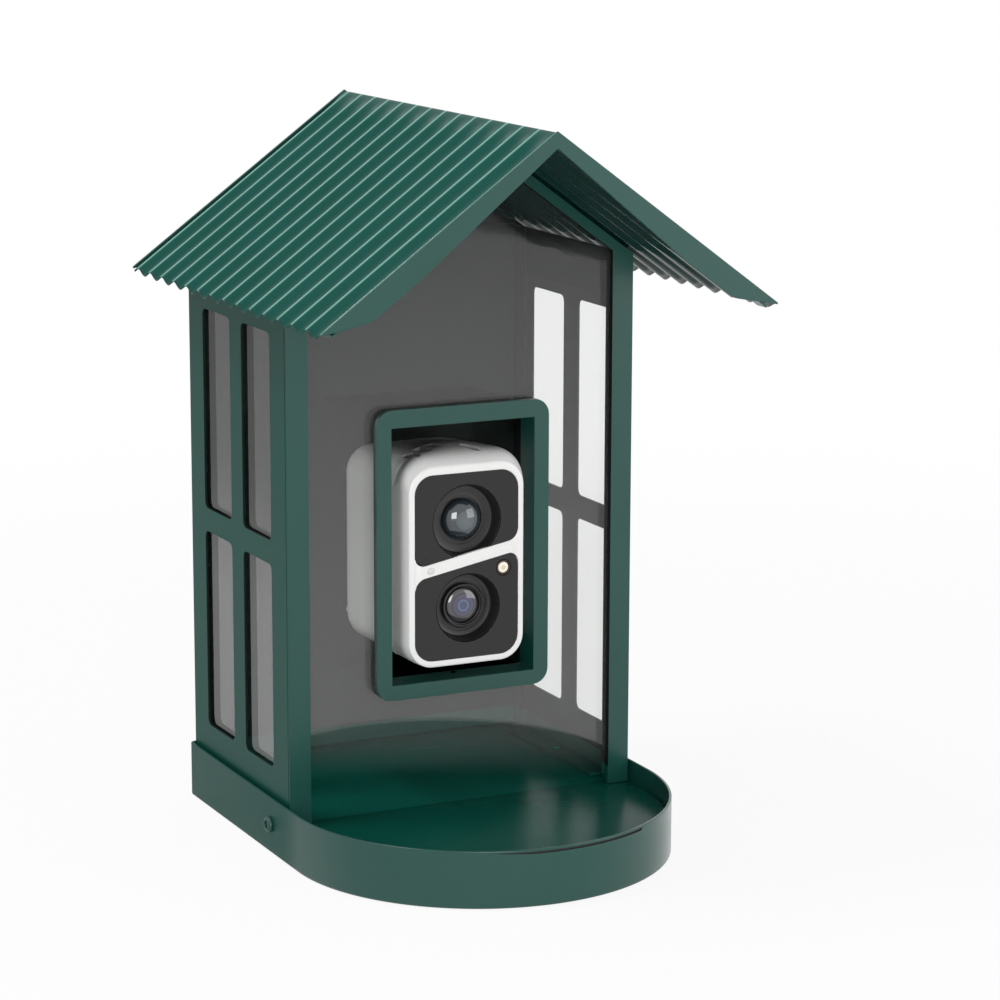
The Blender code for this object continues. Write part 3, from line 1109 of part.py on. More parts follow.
def build_electronics(paint):
    """Make the board, sensors, cells, speaker, antenna, port, microphone and switch."""
    board = box("main_board", (-BOARD_HALF_WIDTH, BOARD_FRONT_Y, BOARD_LOW_Z),
                (BOARD_HALF_WIDTH, BOARD_FRONT_Y + BOARD, BOARD_HIGH_Z))
    finishes = {board: paint["circuit_board"]}
    for name, x, z in (("upper_image_sensor", 0, UPPER_LENS_Z), ("lower_image_sensor", LOWER_LENS_X, LOWER_LENS_Z)):
        sensor = box(name, (x - SENSOR_HALF_WIDTH, BOARD_FRONT_Y - GAP - SENSOR_DEPTH, z - SENSOR_HALF_WIDTH),
                     (x + SENSOR_HALF_WIDTH, BOARD_FRONT_Y - GAP, z + SENSOR_HALF_WIDTH))
        finishes[sensor] = paint["black_plastic"]
    for side, word in SIDES:
        x = side * (CELL_RADIUS + GAP)
        cell = cylinder(word + "_battery_cell", (x, CELL_Y, CELL_LOW_Z), (x, CELL_Y, CELL_LOW_Z + CELL_LENGTH),
                        CELL_RADIUS)
        finishes[cell] = paint["cell_wrap"]
    speaker = across("speaker", SPEAKER_X, SPEAKER_Z, SPEAKER_RADIUS, BOARD_FRONT_Y - GAP - SPEAKER_DEPTH,
                     BOARD_FRONT_Y - GAP)
    finishes[speaker] = paint["black_plastic"]
    antenna_x = CAMERA_HALF_WIDTH - CAMERA_WALL - GAP
    antenna = box("antenna", (antenna_x - ANTENNA, ANTENNA_FRONT_Y, ANTENNA_LOW_Z),
                  (antenna_x, ANTENNA_FRONT_Y + ANTENNA_WIDTH, ANTENNA_LOW_Z + ANTENNA_HEIGHT))
    finishes[antenna] = paint["brass"]
    port_low = CAMERA_LOW_Z + FLAP + 2 * GAP
    port = box("charging_port", (-PORT_HALF_WIDTH, PORT_Y - PORT_HALF_DEPTH, port_low),
               (PORT_HALF_WIDTH, PORT_Y + PORT_HALF_DEPTH, port_low + PORT_HEIGHT))
    slot = box("port_slot", (-PORT_HALF_WIDTH + 2 * GAP, PORT_Y - PORT_HALF_DEPTH + 2 * GAP, port_low - CUT_MARGIN),
               (PORT_HALF_WIDTH - 2 * GAP, PORT_Y + PORT_HALF_DEPTH - 2 * GAP, port_low + PORT_HEIGHT - 2 * GAP))
    finishes[cut(port, slot)] = paint["steel"]
    behind_face = CAMERA_FRONT_Y + CAMERA_FRONT_WALL + GAP
    microphone = across("microphone", MICROPHONE_X, MICROPHONE_Z, MICROPHONE_CAN_RADIUS, behind_face,
                        behind_face + MICROPHONE_DEPTH, SMALL_SIDES)
    finishes[microphone] = paint["steel"]
    switch_rear = CAMERA_REAR_Y + BUTTON_PROUD - BUTTON_LENGTH - BUTTON_TRAVEL - GAP
    switch = box("button_switch", (BUTTON_X - SWITCH_HALF_WIDTH, switch_rear - SWITCH_DEPTH,
                                   BUTTON_Z - SWITCH_HALF_WIDTH),
                 (BUTTON_X + SWITCH_HALF_WIDTH, switch_rear, BUTTON_Z + SWITCH_HALF_WIDTH))
    finishes[switch] = paint["black_plastic"]
    bore = THUMB_SHANK + GAP
    insert = turned("thread_insert", [(bore, 0), (INSERT_RADIUS, 0), (INSERT_RADIUS, INSERT_FRONT_Y - CAMERA_REAR_Y),
                                      (bore, INSERT_FRONT_Y - CAMERA_REAR_Y), (bore, 0)],
                    (0, CAMERA_REAR_Y, THUMB_SCREW_Z), (0, 1, 0))
    finishes[insert] = paint["brass"]
    return finishes


# Flap, button and thumb screw

def flap_outline(inset):
    """Return the port flap's outline seen from below."""
    return rectangle((-FLAP_HALF_WIDTH + inset, FLAP_HINGE_Y - FLAP_LENGTH + inset),
                     (FLAP_HALF_WIDTH - inset, FLAP_HINGE_Y - inset), FLAP_CORNER)


def build_movers(paint):
    """Make the port flap, the button and the thumb screw with its washer."""
    flap = plate("port_flap", [flap_outline(GAP)], "Z", CAMERA_LOW_Z, CAMERA_LOW_Z + FLAP)
    button_rear = CAMERA_REAR_Y + BUTTON_PROUD
    collar = BUTTON_PROUD + CAMERA_WALL + GAP
    button = turned("power_button", [(0, 0), (BUTTON_RADIUS, 0), (BUTTON_RADIUS, -collar), (BUTTON_COLLAR, -collar),
                                     (BUTTON_COLLAR, -BUTTON_LENGTH), (0, -BUTTON_LENGTH)],
                    (BUTTON_X, button_rear, BUTTON_Z), (0, 1, 0))
    knob_y = SLEEVE_REAR_Y + GAP
    screw = turned("thumb_screw", [(0, THUMB_KNOB_LENGTH), (THUMB_KNOB_RADIUS - GRIP_RADIUS, THUMB_KNOB_LENGTH),
                                   (THUMB_KNOB_RADIUS, THUMB_KNOB_LENGTH - GRIP_RADIUS), (THUMB_KNOB_RADIUS, 0),
                                   (THUMB_SHANK, 0), (THUMB_SHANK, THUMB_SHANK_TIP_Y - knob_y),
                                   (0, THUMB_SHANK_TIP_Y - knob_y)],
                   (0, knob_y, THUMB_SCREW_Z), (0, 1, 0), 2 * THUMB_KNOB_GRIPS)
    grooves = []
    for index in range(THUMB_KNOB_GRIPS):
        angle = math.tau * index / THUMB_KNOB_GRIPS
        x = THUMB_KNOB_RADIUS * math.cos(angle)
        z = THUMB_SCREW_Z + THUMB_KNOB_RADIUS * math.sin(angle)
        grooves.append(across("grip_groove", x, z, GRIP_RADIUS, knob_y - CUT_MARGIN,
                              knob_y + THUMB_KNOB_LENGTH + CUT_MARGIN, GRIP_SIDES))
    cut(screw, *grooves)
    bore = THUMB_SHANK + GAP
    washer_y = (CAMERA_REAR_Y + SLEEVE_REAR_Y - SLEEVE + WASHER_THICKNESS) / 2
    washer = turned("camera_washer", [(bore, 0), (WASHER_RADIUS, 0), (WASHER_RADIUS, -WASHER_THICKNESS),
                                      (bore, -WASHER_THICKNESS), (bore, 0)],
                    (0, washer_y, THUMB_SCREW_Z), (0, 1, 0))
    return {flap: paint["rubber"], button: paint["rubber"], screw: paint["black_plastic"],
            washer: paint["rubber"]}


# Joints

def attach(names, axis_name, place):
    """Parent pieces to an empty on their joint's axis, without moving them."""
    handle = bpy.data.objects.new(axis_name, None)
    handle.location = place
    bpy.data.collections[PIECES].objects.link(handle)
    bpy.context.view_layer.update()
    for name in names:
        piece = bpy.data.objects[name]
        piece.parent = handle
        piece.matrix_parent_inverse = handle.matrix_world.inverted()
    return handle


def build_joints():
    """Give each moving group its empty, and hang the flap and the button on the camera's."""
    attach(("roof_sheet", "roof_front_fascia", "roof_rear_fascia", "rear_gable_plate", "roof_hinge_leaf"),
           "roof_axis", (0, HINGE_Y, HINGE_Z))
    camera_names = ("camera_front_shell", "camera_rear_shell", "case_seal", "upper_window", "lower_window",
                    "upper_lens_cup", "lower_lens_cup", "upper_lens_dome", "lower_lens_barrel",
                    "lower_lens_glass", "status_light", "status_light_ring", "indicator_light", "main_board",
                    "upper_image_sensor", "lower_image_sensor", "left_battery_cell", "right_battery_cell",
                    "speaker", "antenna", "charging_port", "microphone", "button_switch", "thread_insert")
    camera = attach(camera_names, "camera_slide", (0, CAMERA_REAR_Y, THUMB_SCREW_Z))
    flap = attach(("port_flap",), "flap_axis", (0, FLAP_HINGE_Y, CAMERA_LOW_Z))
    button = attach(("power_button",), "button_axis", (BUTTON_X, CAMERA_REAR_Y, BUTTON_Z))
    for handle in (flap, button):
        handle.parent = camera
        handle.matrix_parent_inverse = camera.matrix_world.inverted()
    attach(("thumb_screw",), "thumb_screw_axis", (0, SLEEVE_REAR_Y, THUMB_SCREW_Z))


def main():
    """Build every piece and give it its finish."""
    clear_scene()
    paint = make_materials()
    finishes = {}
    finishes.update(build_tray(paint))
    for side, word in SIDES:
        finishes.update(build_side(paint, side, word))
    for build in (build_house, build_panel, build_bezel, build_roof_sheet, build_fascias, build_rear_gable,
                  build_hinge, build_bracket, build_front_shell, build_rear_shell, build_face,
                  build_electronics, build_movers):
        finishes.update(build(paint))
    for piece, material in finishes.items():
        piece.data.materials.append(material)
        piece.data.shade_smooth()
        piece.data.set_sharp_from_angle(angle=SHARP_ANGLE)
    build_joints()


main()
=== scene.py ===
# %% [markdown]
# # Dressing a smart bird feeder
# The CAD model of this feeder is exact but plain: flat sheets, sharp edges and one colour per
# piece. This lesson gives it the look of the real one, which is folded steel with a green powder
# coat, clear sheets and a small white camera. Every piece keeps the place that the CAD gives it.

# %% Load the frame
import json
import math

import bmesh
import bpy
import numpy as np
from mathutils import Matrix, Vector


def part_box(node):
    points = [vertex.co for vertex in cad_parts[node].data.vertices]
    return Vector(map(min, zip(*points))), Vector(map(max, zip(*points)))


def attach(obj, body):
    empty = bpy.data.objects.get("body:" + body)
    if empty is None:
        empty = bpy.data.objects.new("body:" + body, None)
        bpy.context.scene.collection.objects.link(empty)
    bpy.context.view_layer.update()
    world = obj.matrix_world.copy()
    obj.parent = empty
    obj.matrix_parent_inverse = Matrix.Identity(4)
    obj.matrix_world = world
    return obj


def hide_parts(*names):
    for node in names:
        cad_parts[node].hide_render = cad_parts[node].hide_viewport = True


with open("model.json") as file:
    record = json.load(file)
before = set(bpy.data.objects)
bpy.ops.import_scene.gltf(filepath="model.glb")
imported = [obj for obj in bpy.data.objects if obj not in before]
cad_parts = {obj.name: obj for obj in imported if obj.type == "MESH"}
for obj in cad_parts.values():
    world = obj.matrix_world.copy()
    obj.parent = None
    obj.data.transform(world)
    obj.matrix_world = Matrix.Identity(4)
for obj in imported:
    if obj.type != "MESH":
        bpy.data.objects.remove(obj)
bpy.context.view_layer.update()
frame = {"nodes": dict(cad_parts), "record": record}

nodes = frame["nodes"]
bodies = frame["record"]["behaviour"]["bodies"]

# %% [markdown]
# ## Grids of points become surfaces
# A folded rim, a corrugated roof and a lens are all surfaces of two parameters. One numpy array
# keeps the formula readable. The seams are merged afterwards, so each piece is one closed skin.

# %% From a grid to a mesh
MERGE, CAD_MERGE = 1e-7, 1e-6


def grid_mesh(name, points, close_columns=True, caps=True):
    """Mesh of a grid: points[i, j] is joined to points[i + 1, j] and to points[i, j + 1].

    close_columns joins the last column to the first, and caps fill the first and the last row."""
    rows, columns = points.shape[:2]
    number = np.arange(rows * columns).reshape(rows, columns)
    around = np.hstack([number, number[:, :1]]) if close_columns else number
    quads = np.stack([around[:-1, :-1], around[:-1, 1:], around[1:, 1:], around[1:, :-1]], axis=-1)
    faces = quads.reshape(-1, 4).tolist()
    if caps:
        faces += [number[0].tolist(), number[-1].tolist()]
    mesh = bpy.data.meshes.new(name)
    mesh.from_pydata(points.reshape(-1, 3).tolist(), [], faces)
    return mesh


def shaded(mesh, crease=35.0):
    """Shade a mesh smooth up to the crease angle, in degrees."""
    mesh.shade_smooth()
    mesh.set_sharp_from_angle(angle=math.radians(crease))
    return mesh


def close_up(mesh, crease=35.0):
    """Merge doubled points, turn the faces outwards, and shade smooth up to the crease angle."""
    shape = bmesh.new()
    shape.from_mesh(mesh)
    bmesh.ops.remove_doubles(shape, verts=shape.verts, dist=MERGE)
    bmesh.ops.recalc_face_normals(shape, faces=shape.faces)
    shape.to_mesh(mesh)
    shape.free()
    return shaded(mesh, crease)


print("grids can be meshed")

# %% [markdown]
# ## Handing a piece over to the frame
# A new piece stands for a CAD node: it hides that node, moves with its body, and takes the
# finish of that node's slot, unless it is given another. One helper does all of this, so that no piece
# is forgotten.

# %% Put a piece in a node's place
def new_object(name, data):
    """Add an object to the scene."""
    made = bpy.data.objects.new(name, data)
    bpy.context.scene.collection.objects.link(made)
    return made


def body_of_node(node):
    """Name of the body that a CAD node belongs to."""
    return next(body for body, members in bodies.items() if node in members)


def stand_in(name, mesh, node, *more_nodes, finish=None):
    """Add a piece that replaces a CAD node, rides on its body and takes over its slot and finish."""
    piece = new_object(name, mesh)
    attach(piece, body_of_node(node))
    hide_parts(node, *more_nodes)
    piece.data.materials.clear()
    piece.data.materials.append(finish or finishes[finish_slot[node]])
    print(f"{name}: {len(mesh.vertices)} points, for {node}")
    return piece


def face_table(mesh):
    """Centre and outward direction of every face, as two arrays of x, y and z."""
    middle, outward = np.empty((2, 3 * len(mesh.polygons)))
    mesh.polygons.foreach_get("center", middle)
    mesh.polygons.foreach_get("normal", outward)
    return middle.reshape(-1, 3).T, outward.reshape(-1, 3).T


def coat_some(piece, chosen, *more_finishes):
    """Add finishes to a piece, and give each face the one that chosen numbers; 0 is the first."""
    for finish in more_finishes:
        piece.data.materials.append(finish)
    piece.data.polygons.foreach_set("material_index", chosen.astype(np.int32))
    print(f"{piece.name}: {(chosen > 0).sum()} of {len(chosen)} faces have another finish")


finish_slot = {name: piece.data.materials[0].name.split(".")[0] for name, piece in nodes.items()}
finishes = {}
print("finishes in the record:", sorted(set(finish_slot.values())))

# %% [markdown]
# ## Shader maths as plain expressions
# A material is easier to read as a formula than as boxes and wires. The small class below wraps a
# socket, so that `1 - mask` or `0.4 + 0.1 * noise` adds the Math nodes by itself.

# %% A socket that can be calculated with
class Amount:
    """A shader value. Its operators add Math nodes to the material that it lives in."""

    def __init__(self, tree, socket):
        self.tree, self.socket = tree, socket

    def node(self, kind, setting, choice, *values):
        """Add a node with one setting, and fill its sockets in their order."""
        made = self.tree.nodes.new(kind)
        setattr(made, setting, choice)
        for entry, value in zip(made.inputs, values):
            feed(self.tree, entry, value)
        return Amount(self.tree, made.outputs[0])

    def maths(self, operation, *others):
        return self.node("ShaderNodeMath", "operation", operation, self, *others)

    def ramp(self, low, high, first=0.0, last=1.0):
        """An S-curve from first to last, while this value goes from low to high."""
        return self.node("ShaderNodeMapRange", "interpolation_type", "SMOOTHSTEP",
                         self, low, high, first, last)

    def __add__(self, other):
        return self.maths("ADD", other)

    def __sub__(self, other):
        return self.maths("SUBTRACT", other)

    def __rsub__(self, other):
        return self.node("ShaderNodeMath", "operation", "SUBTRACT", other, self)

    def __mul__(self, other):
        return self.maths("MULTIPLY", other)

    def __pow__(self, other):
        return self.maths("POWER", other)

    __radd__, __rmul__ = __add__, __mul__

    def over(self, edge):
        """1 where this value lies above an edge, and 0 below it."""
        return self.maths("GREATER_THAN", edge)


def feed(tree, entry, value):
    """Link an Amount to a socket, or set a plain value on it."""
    if isinstance(value, Amount):
        tree.links.new(value.socket, entry)
    else:
        entry.default_value = value


print("sockets can be calculated with")

# %% A finish under construction
class Finish:
    """A material with a Principled shader, and one method that adds any other node."""

    def __init__(self, name, **constants):
        self.material = bpy.data.materials.new(name)
        self.material.use_nodes = True
        self.tree = self.material.node_tree
        self.tree.nodes.clear()
        self.output = self.tree.nodes.new("ShaderNodeOutputMaterial")
        self.shader = self.tree.nodes.new("ShaderNodeBsdfPrincipled")
        self.tree.links.new(self.shader.outputs[0], self.output.inputs[0])
        self.set(**constants)
        self.place = self.node("ShaderNodeTexCoord", out="Object")
        self.skin = Amount(self.tree, self.shader.outputs[0])

    def node(self, kind, settings=(), values=(), out=0, stops=()):
        """Add a node: its settings first, then a ramp's stops, then its sockets' values or links."""
        made = self.tree.nodes.new(kind)
        for key, value in dict(settings).items():
            setattr(made, key, value)
        if stops:
            ramp = made.color_ramp.elements
            while len(ramp) < len(stops):
                ramp.new(1.0)
            for element, (where, colour) in zip(ramp, stops):
                element.position = where
                element.color = (*colour, 1.0)
        for key, value in dict(values).items():
            feed(self.tree, made.inputs[key], value)
        return Amount(self.tree, made.outputs[out])

    def set(self, **entries):
        """Set or link the shader's sockets; base_color stands for Base Color, and so on."""
        for key, value in entries.items():
            title = key.replace("_", " ").title().replace("Ior", "IOR")
            value = (*value, 1.0) if isinstance(value, tuple) and len(value) == 3 else value
            feed(self.tree, self.shader.inputs[title], value)

    def noise(self, scale, detail=2.0, place=None):
        """Soft noise from 0 to 1, with so many waves to the metre."""
        return self.node("ShaderNodeTexNoise", values={
            "Vector": place or self.place, "Scale": scale, "Detail": detail}, out="Fac")

    def stretched(self, scale):
        """The object's coordinates, scaled by axis."""
        return self.node("ShaderNodeMapping", values={"Vector": self.place, "Scale": scale})

    def blend(self, share, first, second):
        """Mix two colours by a share."""
        first, second = [(*c, 1.0) if isinstance(c, tuple) else c for c in (first, second)]
        return self.node("ShaderNodeMix", {"data_type": "RGBA"},
                         {0: share, 6: first, 7: second}, out=2)

    def cover(self, share, colour):
        """Lay a colour over the base colour that is there, by a share."""
        under = Amount(self.tree, self.shader.inputs["Base Color"].links[0].from_socket)
        self.set(base_color=self.blend(share, under, colour))

    def show(self, share, first, second):
        """Mix two shaders by a share, and show the result."""
        feed(self.tree, self.output.inputs[0],
             self.node("ShaderNodeMixShader", values={0: share, 1: first, 2: second}))

    def axis(self, letter):
        """One coordinate of the object, in metres."""
        return self.node("ShaderNodeSeparateXYZ", values={0: self.place}, out=letter)

    def grain(self, height, strength, depth):
        """Bump from a height that is given as 0 to 1."""
        self.set(normal=self.node("ShaderNodeBump", values={
            "Height": height, "Strength": strength, "Distance": depth}))


print("finishes can be built")

# %% [markdown]
# ## Powder coat
# The steel is sprayed with dry powder and baked. That leaves a satin skin with a low orange peel,
# about one wave to a millimetre, and a tone that drifts a little over a hand's width. The walls'
# inner faces are painted near black, a painted shade, which is why the seed bin looks black.

# %% Green powder coat
GREEN = (0.006, 0.058, 0.0455)
ROOF_GREEN = (0.008, 0.07, 0.056)
CREST_HIGHLIGHT_GREEN = (0.04, 0.42, 0.3)
TRAY_GREEN = (0.003, 0.064, 0.047)
PAINTED_LIGHT_GREEN = (0.0055, 0.105, 0.078)
PAINTED_SHADE_DARK = (0.006, 0.01, 0.0085)


def dimmed(colour, share):
    """A colour times a share."""
    return tuple(share * c for c in colour)


def powder_coat(name, colour, roughness, gloss=0.5, peel_depth=0.00004):
    """Paint whose tone and roughness drift slowly, under an orange peel bump."""
    paint = Finish(name, specular_ior_level=gloss)
    drift = paint.noise(22.0, 3.0)
    peel = paint.noise(800.0, 2.0)
    paint.set(base_color=paint.blend(drift, dimmed(colour, 0.9), dimmed(colour, 1.1)),
              roughness=roughness + 0.1 * (drift - 0.5) + 0.05 * (peel - 0.5))
    if peel_depth:
        paint.grain(peel, 0.25, peel_depth)
    return paint


finishes["green_paint"] = powder_coat("green_powder_coat", GREEN, 0.3).material
side_finish = powder_coat("side_powder_coat", GREEN, 0.34, 0.07).material
# Matt black for the sleeve's top and bottom: painted shade in the camera's opening.
painted_shade_black = powder_coat("sleeve_painted_shade", (0.002, 0.002, 0.002), 0.7, 0.0, None).material
# The roof's underside takes 0.4 of the roof's green: painted shade under the roof.
under_shade_finish = powder_coat("roof_underside_painted_shade", dimmed(ROOF_GREEN, 0.4), 0.14, 0.2, None).material
print("powder coat")

# %% Seed floor
# Behind the panel the floor is painted a brighter green: painted light on the floor inside the bin,
# where it lies in shade.
paint = powder_coat("seed_floor_coat", TRAY_GREEN, 0.22, 0.065)
paint.cover(paint.axis("Y").over(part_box("front_panel")[1].y), PAINTED_LIGHT_GREEN)
floor_finish = paint.material
print("seed floor coat")

# %% Tray coat
# The tray's bent front is handled most, so its coat is polished. The straight sides are not.
paint = powder_coat("tray_powder_coat", GREEN, 0.34, 0.07)
paint.set(coat_weight=paint.axis("Y").ramp(-0.04, 0.004, 0.85, 0.0), coat_roughness=0.22)
tray_finish = paint.material
print("tray coat")

# %% Roof coat with painted highlights on the crests
# Along each crest the coat is painted paler, a painted highlight, and its clear coat is glossiest
# there. The mask follows cos(2 pi (y - crest) / pitch), which is 1 on a crest.
PITCH, LAST_CREST = 0.01493, 0.1211
paint = powder_coat("roof_powder_coat", ROOF_GREEN, 0.25, 0.035)
phase = (paint.axis("Y") - LAST_CREST) * (2 * math.pi / PITCH)
crest = phase.maths("COSINE").ramp(0.86, 0.985, 0.0, 0.55)
paint.cover(crest, CREST_HIGHLIGHT_GREEN)
paint.set(coat_weight=crest, coat_roughness=0.16, coat_ior=2.2)
finishes["roof_paint"] = paint.material
print("roof coat")

# %% The walls' painted shade
# Inside the bin the walls are painted near black, a painted shade, and on the foot of each sheet the
# tray's green is painted on, a painted reflection of the tray.
FOOT = 0.024
BIN_HALF, BIN_FRONT, BIN_REAR = 0.0814, 0.0006, 0.1129
SQUARE = 0.9
paint = powder_coat("painted_shade_coat", PAINTED_SHADE_DARK, 0.62, 0.08, None)
# The tray's green on the foot of each sheet is a painted reflection of the tray.
paint.cover(1 - paint.axis("Z").over(FOOT), TRAY_GREEN)
painted_shade_finish = paint.material


def coat_wall(piece):
    """Painted shade inside the bin, and a duller coat on outer faces that look along x."""
    (x, y, _), (sideways, _, _) = face_table(piece.data)
    inside = (np.abs(x) < BIN_HALF) & (y > BIN_FRONT) & (y < BIN_REAR)
    broad = ~inside & (np.abs(sideways) > SQUARE)
    coat_some(piece, inside + 2 * broad, painted_shade_finish, side_finish)


print("back coat")

# %% [markdown]
# ## Clear sheets
# A clear sheet shows two things: what is behind it, and a faint mirror image of what is in front.
# Its share of mirror grows towards grazing angles, by Schlick's rule 0.04 + 0.96 (1 - cos)^5 for
# each face. A Transparent shader under that share is quieter than real refraction in a thin sheet.

# %% Clear panel and panes
CLEAR = (0.985, 0.988, 0.985, 1.0)
FOOT_LINE_TOP = 0.046
EAVE_LOW, EAVE_HIGH, EAVE_LEAN = 0.267, 0.273, 0.2


def clear_sheet(name, mirror, rise, haze=0.006, dust=0.0, foot_line=(0.014, 0.2, 0.0), eave=0.0):
    """A thin clear sheet with a share of mirror, and a little matt dust in that share.

    The share is painted by place, a painted reflection. rise: the two heights between which the
    share falls, and by how much. At the sheet's foot a second triple gives the height at which the
    share starts, how much it is there, and how the line leans. eave: the loss at the very top, a
    painted shade in the mirror image, for the roof's dark underside."""
    sheet = Finish(name, base_color=(1.0, 1.0, 1.0), metallic=1.0 - dust)
    facing = sheet.node("ShaderNodeLayerWeight", values={"Blend": 0.5}, out="Facing")
    smear = sheet.noise(30.0, 3.0, sheet.stretched((1.0, 1.0, 0.25)))
    sheet.set(roughness=0.02 + 0.04 * smear)
    up, aside = sheet.axis("Z"), sheet.axis("X")
    low, high, loss = rise
    height = up.ramp(low, high, 1.0, 1.0 - loss)
    start, least, fall = foot_line
    above_foot_line = (up + fall * aside).ramp(start, FOOT_LINE_TOP, least, 1.0)
    painted_eave_shade = (up + EAVE_LEAN * aside).ramp(EAVE_LOW, EAVE_HIGH, 1.0, 1.0 - eave)
    # The share is a painted reflection: it falls with height, starts above a line at the sheet's foot,
    # and is dimmed under the eave, a painted shade there.
    share = (mirror + haze * smear + mirror * 24.0 * facing ** 5.0) * height * above_foot_line * painted_eave_shade
    sheet.show(share, sheet.node("ShaderNodeBsdfTransparent", values={"Color": CLEAR}), sheet.skin)
    return sheet.material


finishes["clear_plastic"] = clear_sheet("clear_panel", 0.062, (0.05, 0.28, 0.33), dust=0.35,
                                        foot_line=(0.026, 0.0, 0.12), eave=0.6)
pane_finish = clear_sheet("clear_pane", 0.046, (0.1, 0.17, 0.36))
sleeve_finish = clear_sheet("clear_sleeve", 0.0025, (0.0, 0.3, 0.0), 0.0005)
print("clear sheets")

# %% [markdown]
# ## Plastics, metals and glass of the camera
# The casing is moulded in a tool with a spark-eroded skin, so it scatters light in a very fine
# grain. The windows are polished black acrylic. Metals get long fine brush marks.

# %% White and black plastic
def moulded(name, colour, roughness, grain_scale, strength):
    """Moulded plastic: a fine grain in gloss and height, and a faint drift of tone."""
    skin = Finish(name)
    fine, drift = skin.noise(grain_scale, 1.0), skin.noise(40.0, 2.0)
    skin.set(base_color=skin.blend(drift, dimmed(colour, 0.95), colour),
             roughness=roughness + 0.1 * (fine - 0.5))
    skin.grain(fine, strength, 0.0001)
    return skin


# The crown of the white casing is painted grey behind its front edge: painted shade, where the bezel
# and the roof keep light off its top.
casing = moulded("white_casing", (0.8, 0.8, 0.79), 0.28, 2600.0, 0.05)
crown_shade = casing.axis("Z").ramp(0.1655, 0.174, 0.0, 0.95)
casing.cover(crown_shade * casing.axis("Y").ramp(-0.004, 0.006), (0.13, 0.13, 0.125))
finishes["white_plastic"] = casing.material
# Dark grey for the faces deep in the catch's recess: painted shade in the grooves and pocket.
groove_shade_finish = moulded("groove_painted_shade", (0.1, 0.1, 0.1), 0.45, 1800.0, 0.1).material
finishes["black_plastic"] = moulded("black_plastic", (0.012, 0.012, 0.012), 0.34, 2200.0, 0.1).material
finishes["rubber"] = moulded("rubber", (0.02, 0.02, 0.02), 0.72, 1500.0, 0.25).material
finishes["black_window"] = moulded("black_acrylic", (0.006, 0.006, 0.0058), 0.11, 300.0, 0.01).material
print("plastics")

# %% Steel and brass
def brushed(name, colour, roughness):
    """Metal with brush marks that run along X."""
    metal = Finish(name, metallic=1.0)
    marks = metal.noise(500.0, 3.0, metal.stretched((0.08, 1.0, 1.0)))
    metal.set(base_color=metal.blend(marks, dimmed(colour, 0.82), colour),
              roughness=roughness + 0.16 * (marks - 0.5))
    metal.grain(marks, 0.05, 0.0001)
    return metal.material


finishes["steel"] = brushed("zinc_plated_steel", (0.56, 0.56, 0.55), 0.34)
finishes["brass"] = brushed("brass", (0.62, 0.4, 0.2), 0.3)
print("metals")

# %% Painted screw heads
screw_finish = powder_coat("painted_screw", dimmed(GREEN, 0.8), 0.42).material
print("painted screw heads")

# %% Circuit board
# Green lacquer: bricks draw its tracks, and cells of Voronoi noise its tinned pads.
board = Finish("circuit_board", roughness=0.35)
turned_place = board.node("ShaderNodeMapping", values={
    "Vector": board.place, "Rotation": (math.radians(90), 0.0, 0.0)})
tracks = board.node("ShaderNodeTexBrick", {"offset": 0.35}, {
    "Vector": turned_place, "Scale": 220.0, "Mortar Size": 0.03}, out="Fac")
pads = board.node("ShaderNodeTexVoronoi", values={
    "Vector": board.place, "Scale": 260.0}, out="Distance")
lacquer = board.blend(tracks, (0.008, 0.085, 0.03), (0.02, 0.15, 0.06))
pad = 1 - pads.over(0.16)
board.set(base_color=board.blend(pad, lacquer, (0.7, 0.62, 0.42)), metallic=pad)
board.grain(tracks, 0.3, 0.0001)
finishes["circuit_board"] = board.material
print("board")

# %% Battery cells
# A blue shrink sleeve leaves the two steel ends of a cell bare.
cell = Finish("cell_wrap")
height, grain = cell.axis("Z"), cell.noise(500.0)
cell_low, cell_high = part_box("left_battery_cell")
steel_end = height.over(cell_high.z - 0.0012) + (1 - height.over(cell_low.z + 0.0008))
cell.set(base_color=cell.blend(steel_end, (0.02, 0.11, 0.33), (0.6, 0.6, 0.59)),
         metallic=steel_end, roughness=0.28 + 0.08 * grain)
finishes["cell_wrap"] = cell.material
print("cells")

# %% [markdown]
# ## Lens glass
# A lens is dark with coloured rings, because each coated glass behind the front one mirrors a
# little of its own tint. Those rings are painted by their distance from the lens's axis, and the
# polished front does the rest.

# %% Coated lenses
def ringed(name, node, radius, stops, roughness=0.04, **constants):
    """Rings round a lens's axis: the colour ramp runs from 0 at the axis to 1 at the radius."""
    glass = Finish(name, **constants)
    low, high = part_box(node)
    middle = (low + high) / 2
    across = (glass.axis("X") - middle.x) * (1 / radius)
    upright = (glass.axis("Z") - middle.z) * (1 / radius)
    distance = (across ** 2.0 + upright ** 2.0) ** 0.5
    rings = glass.node("ShaderNodeValToRGB", values={"Fac": distance}, stops=stops)
    dust = glass.noise(900.0)
    glass.set(base_color=rings, roughness=roughness + 0.03 * dust)
    return glass


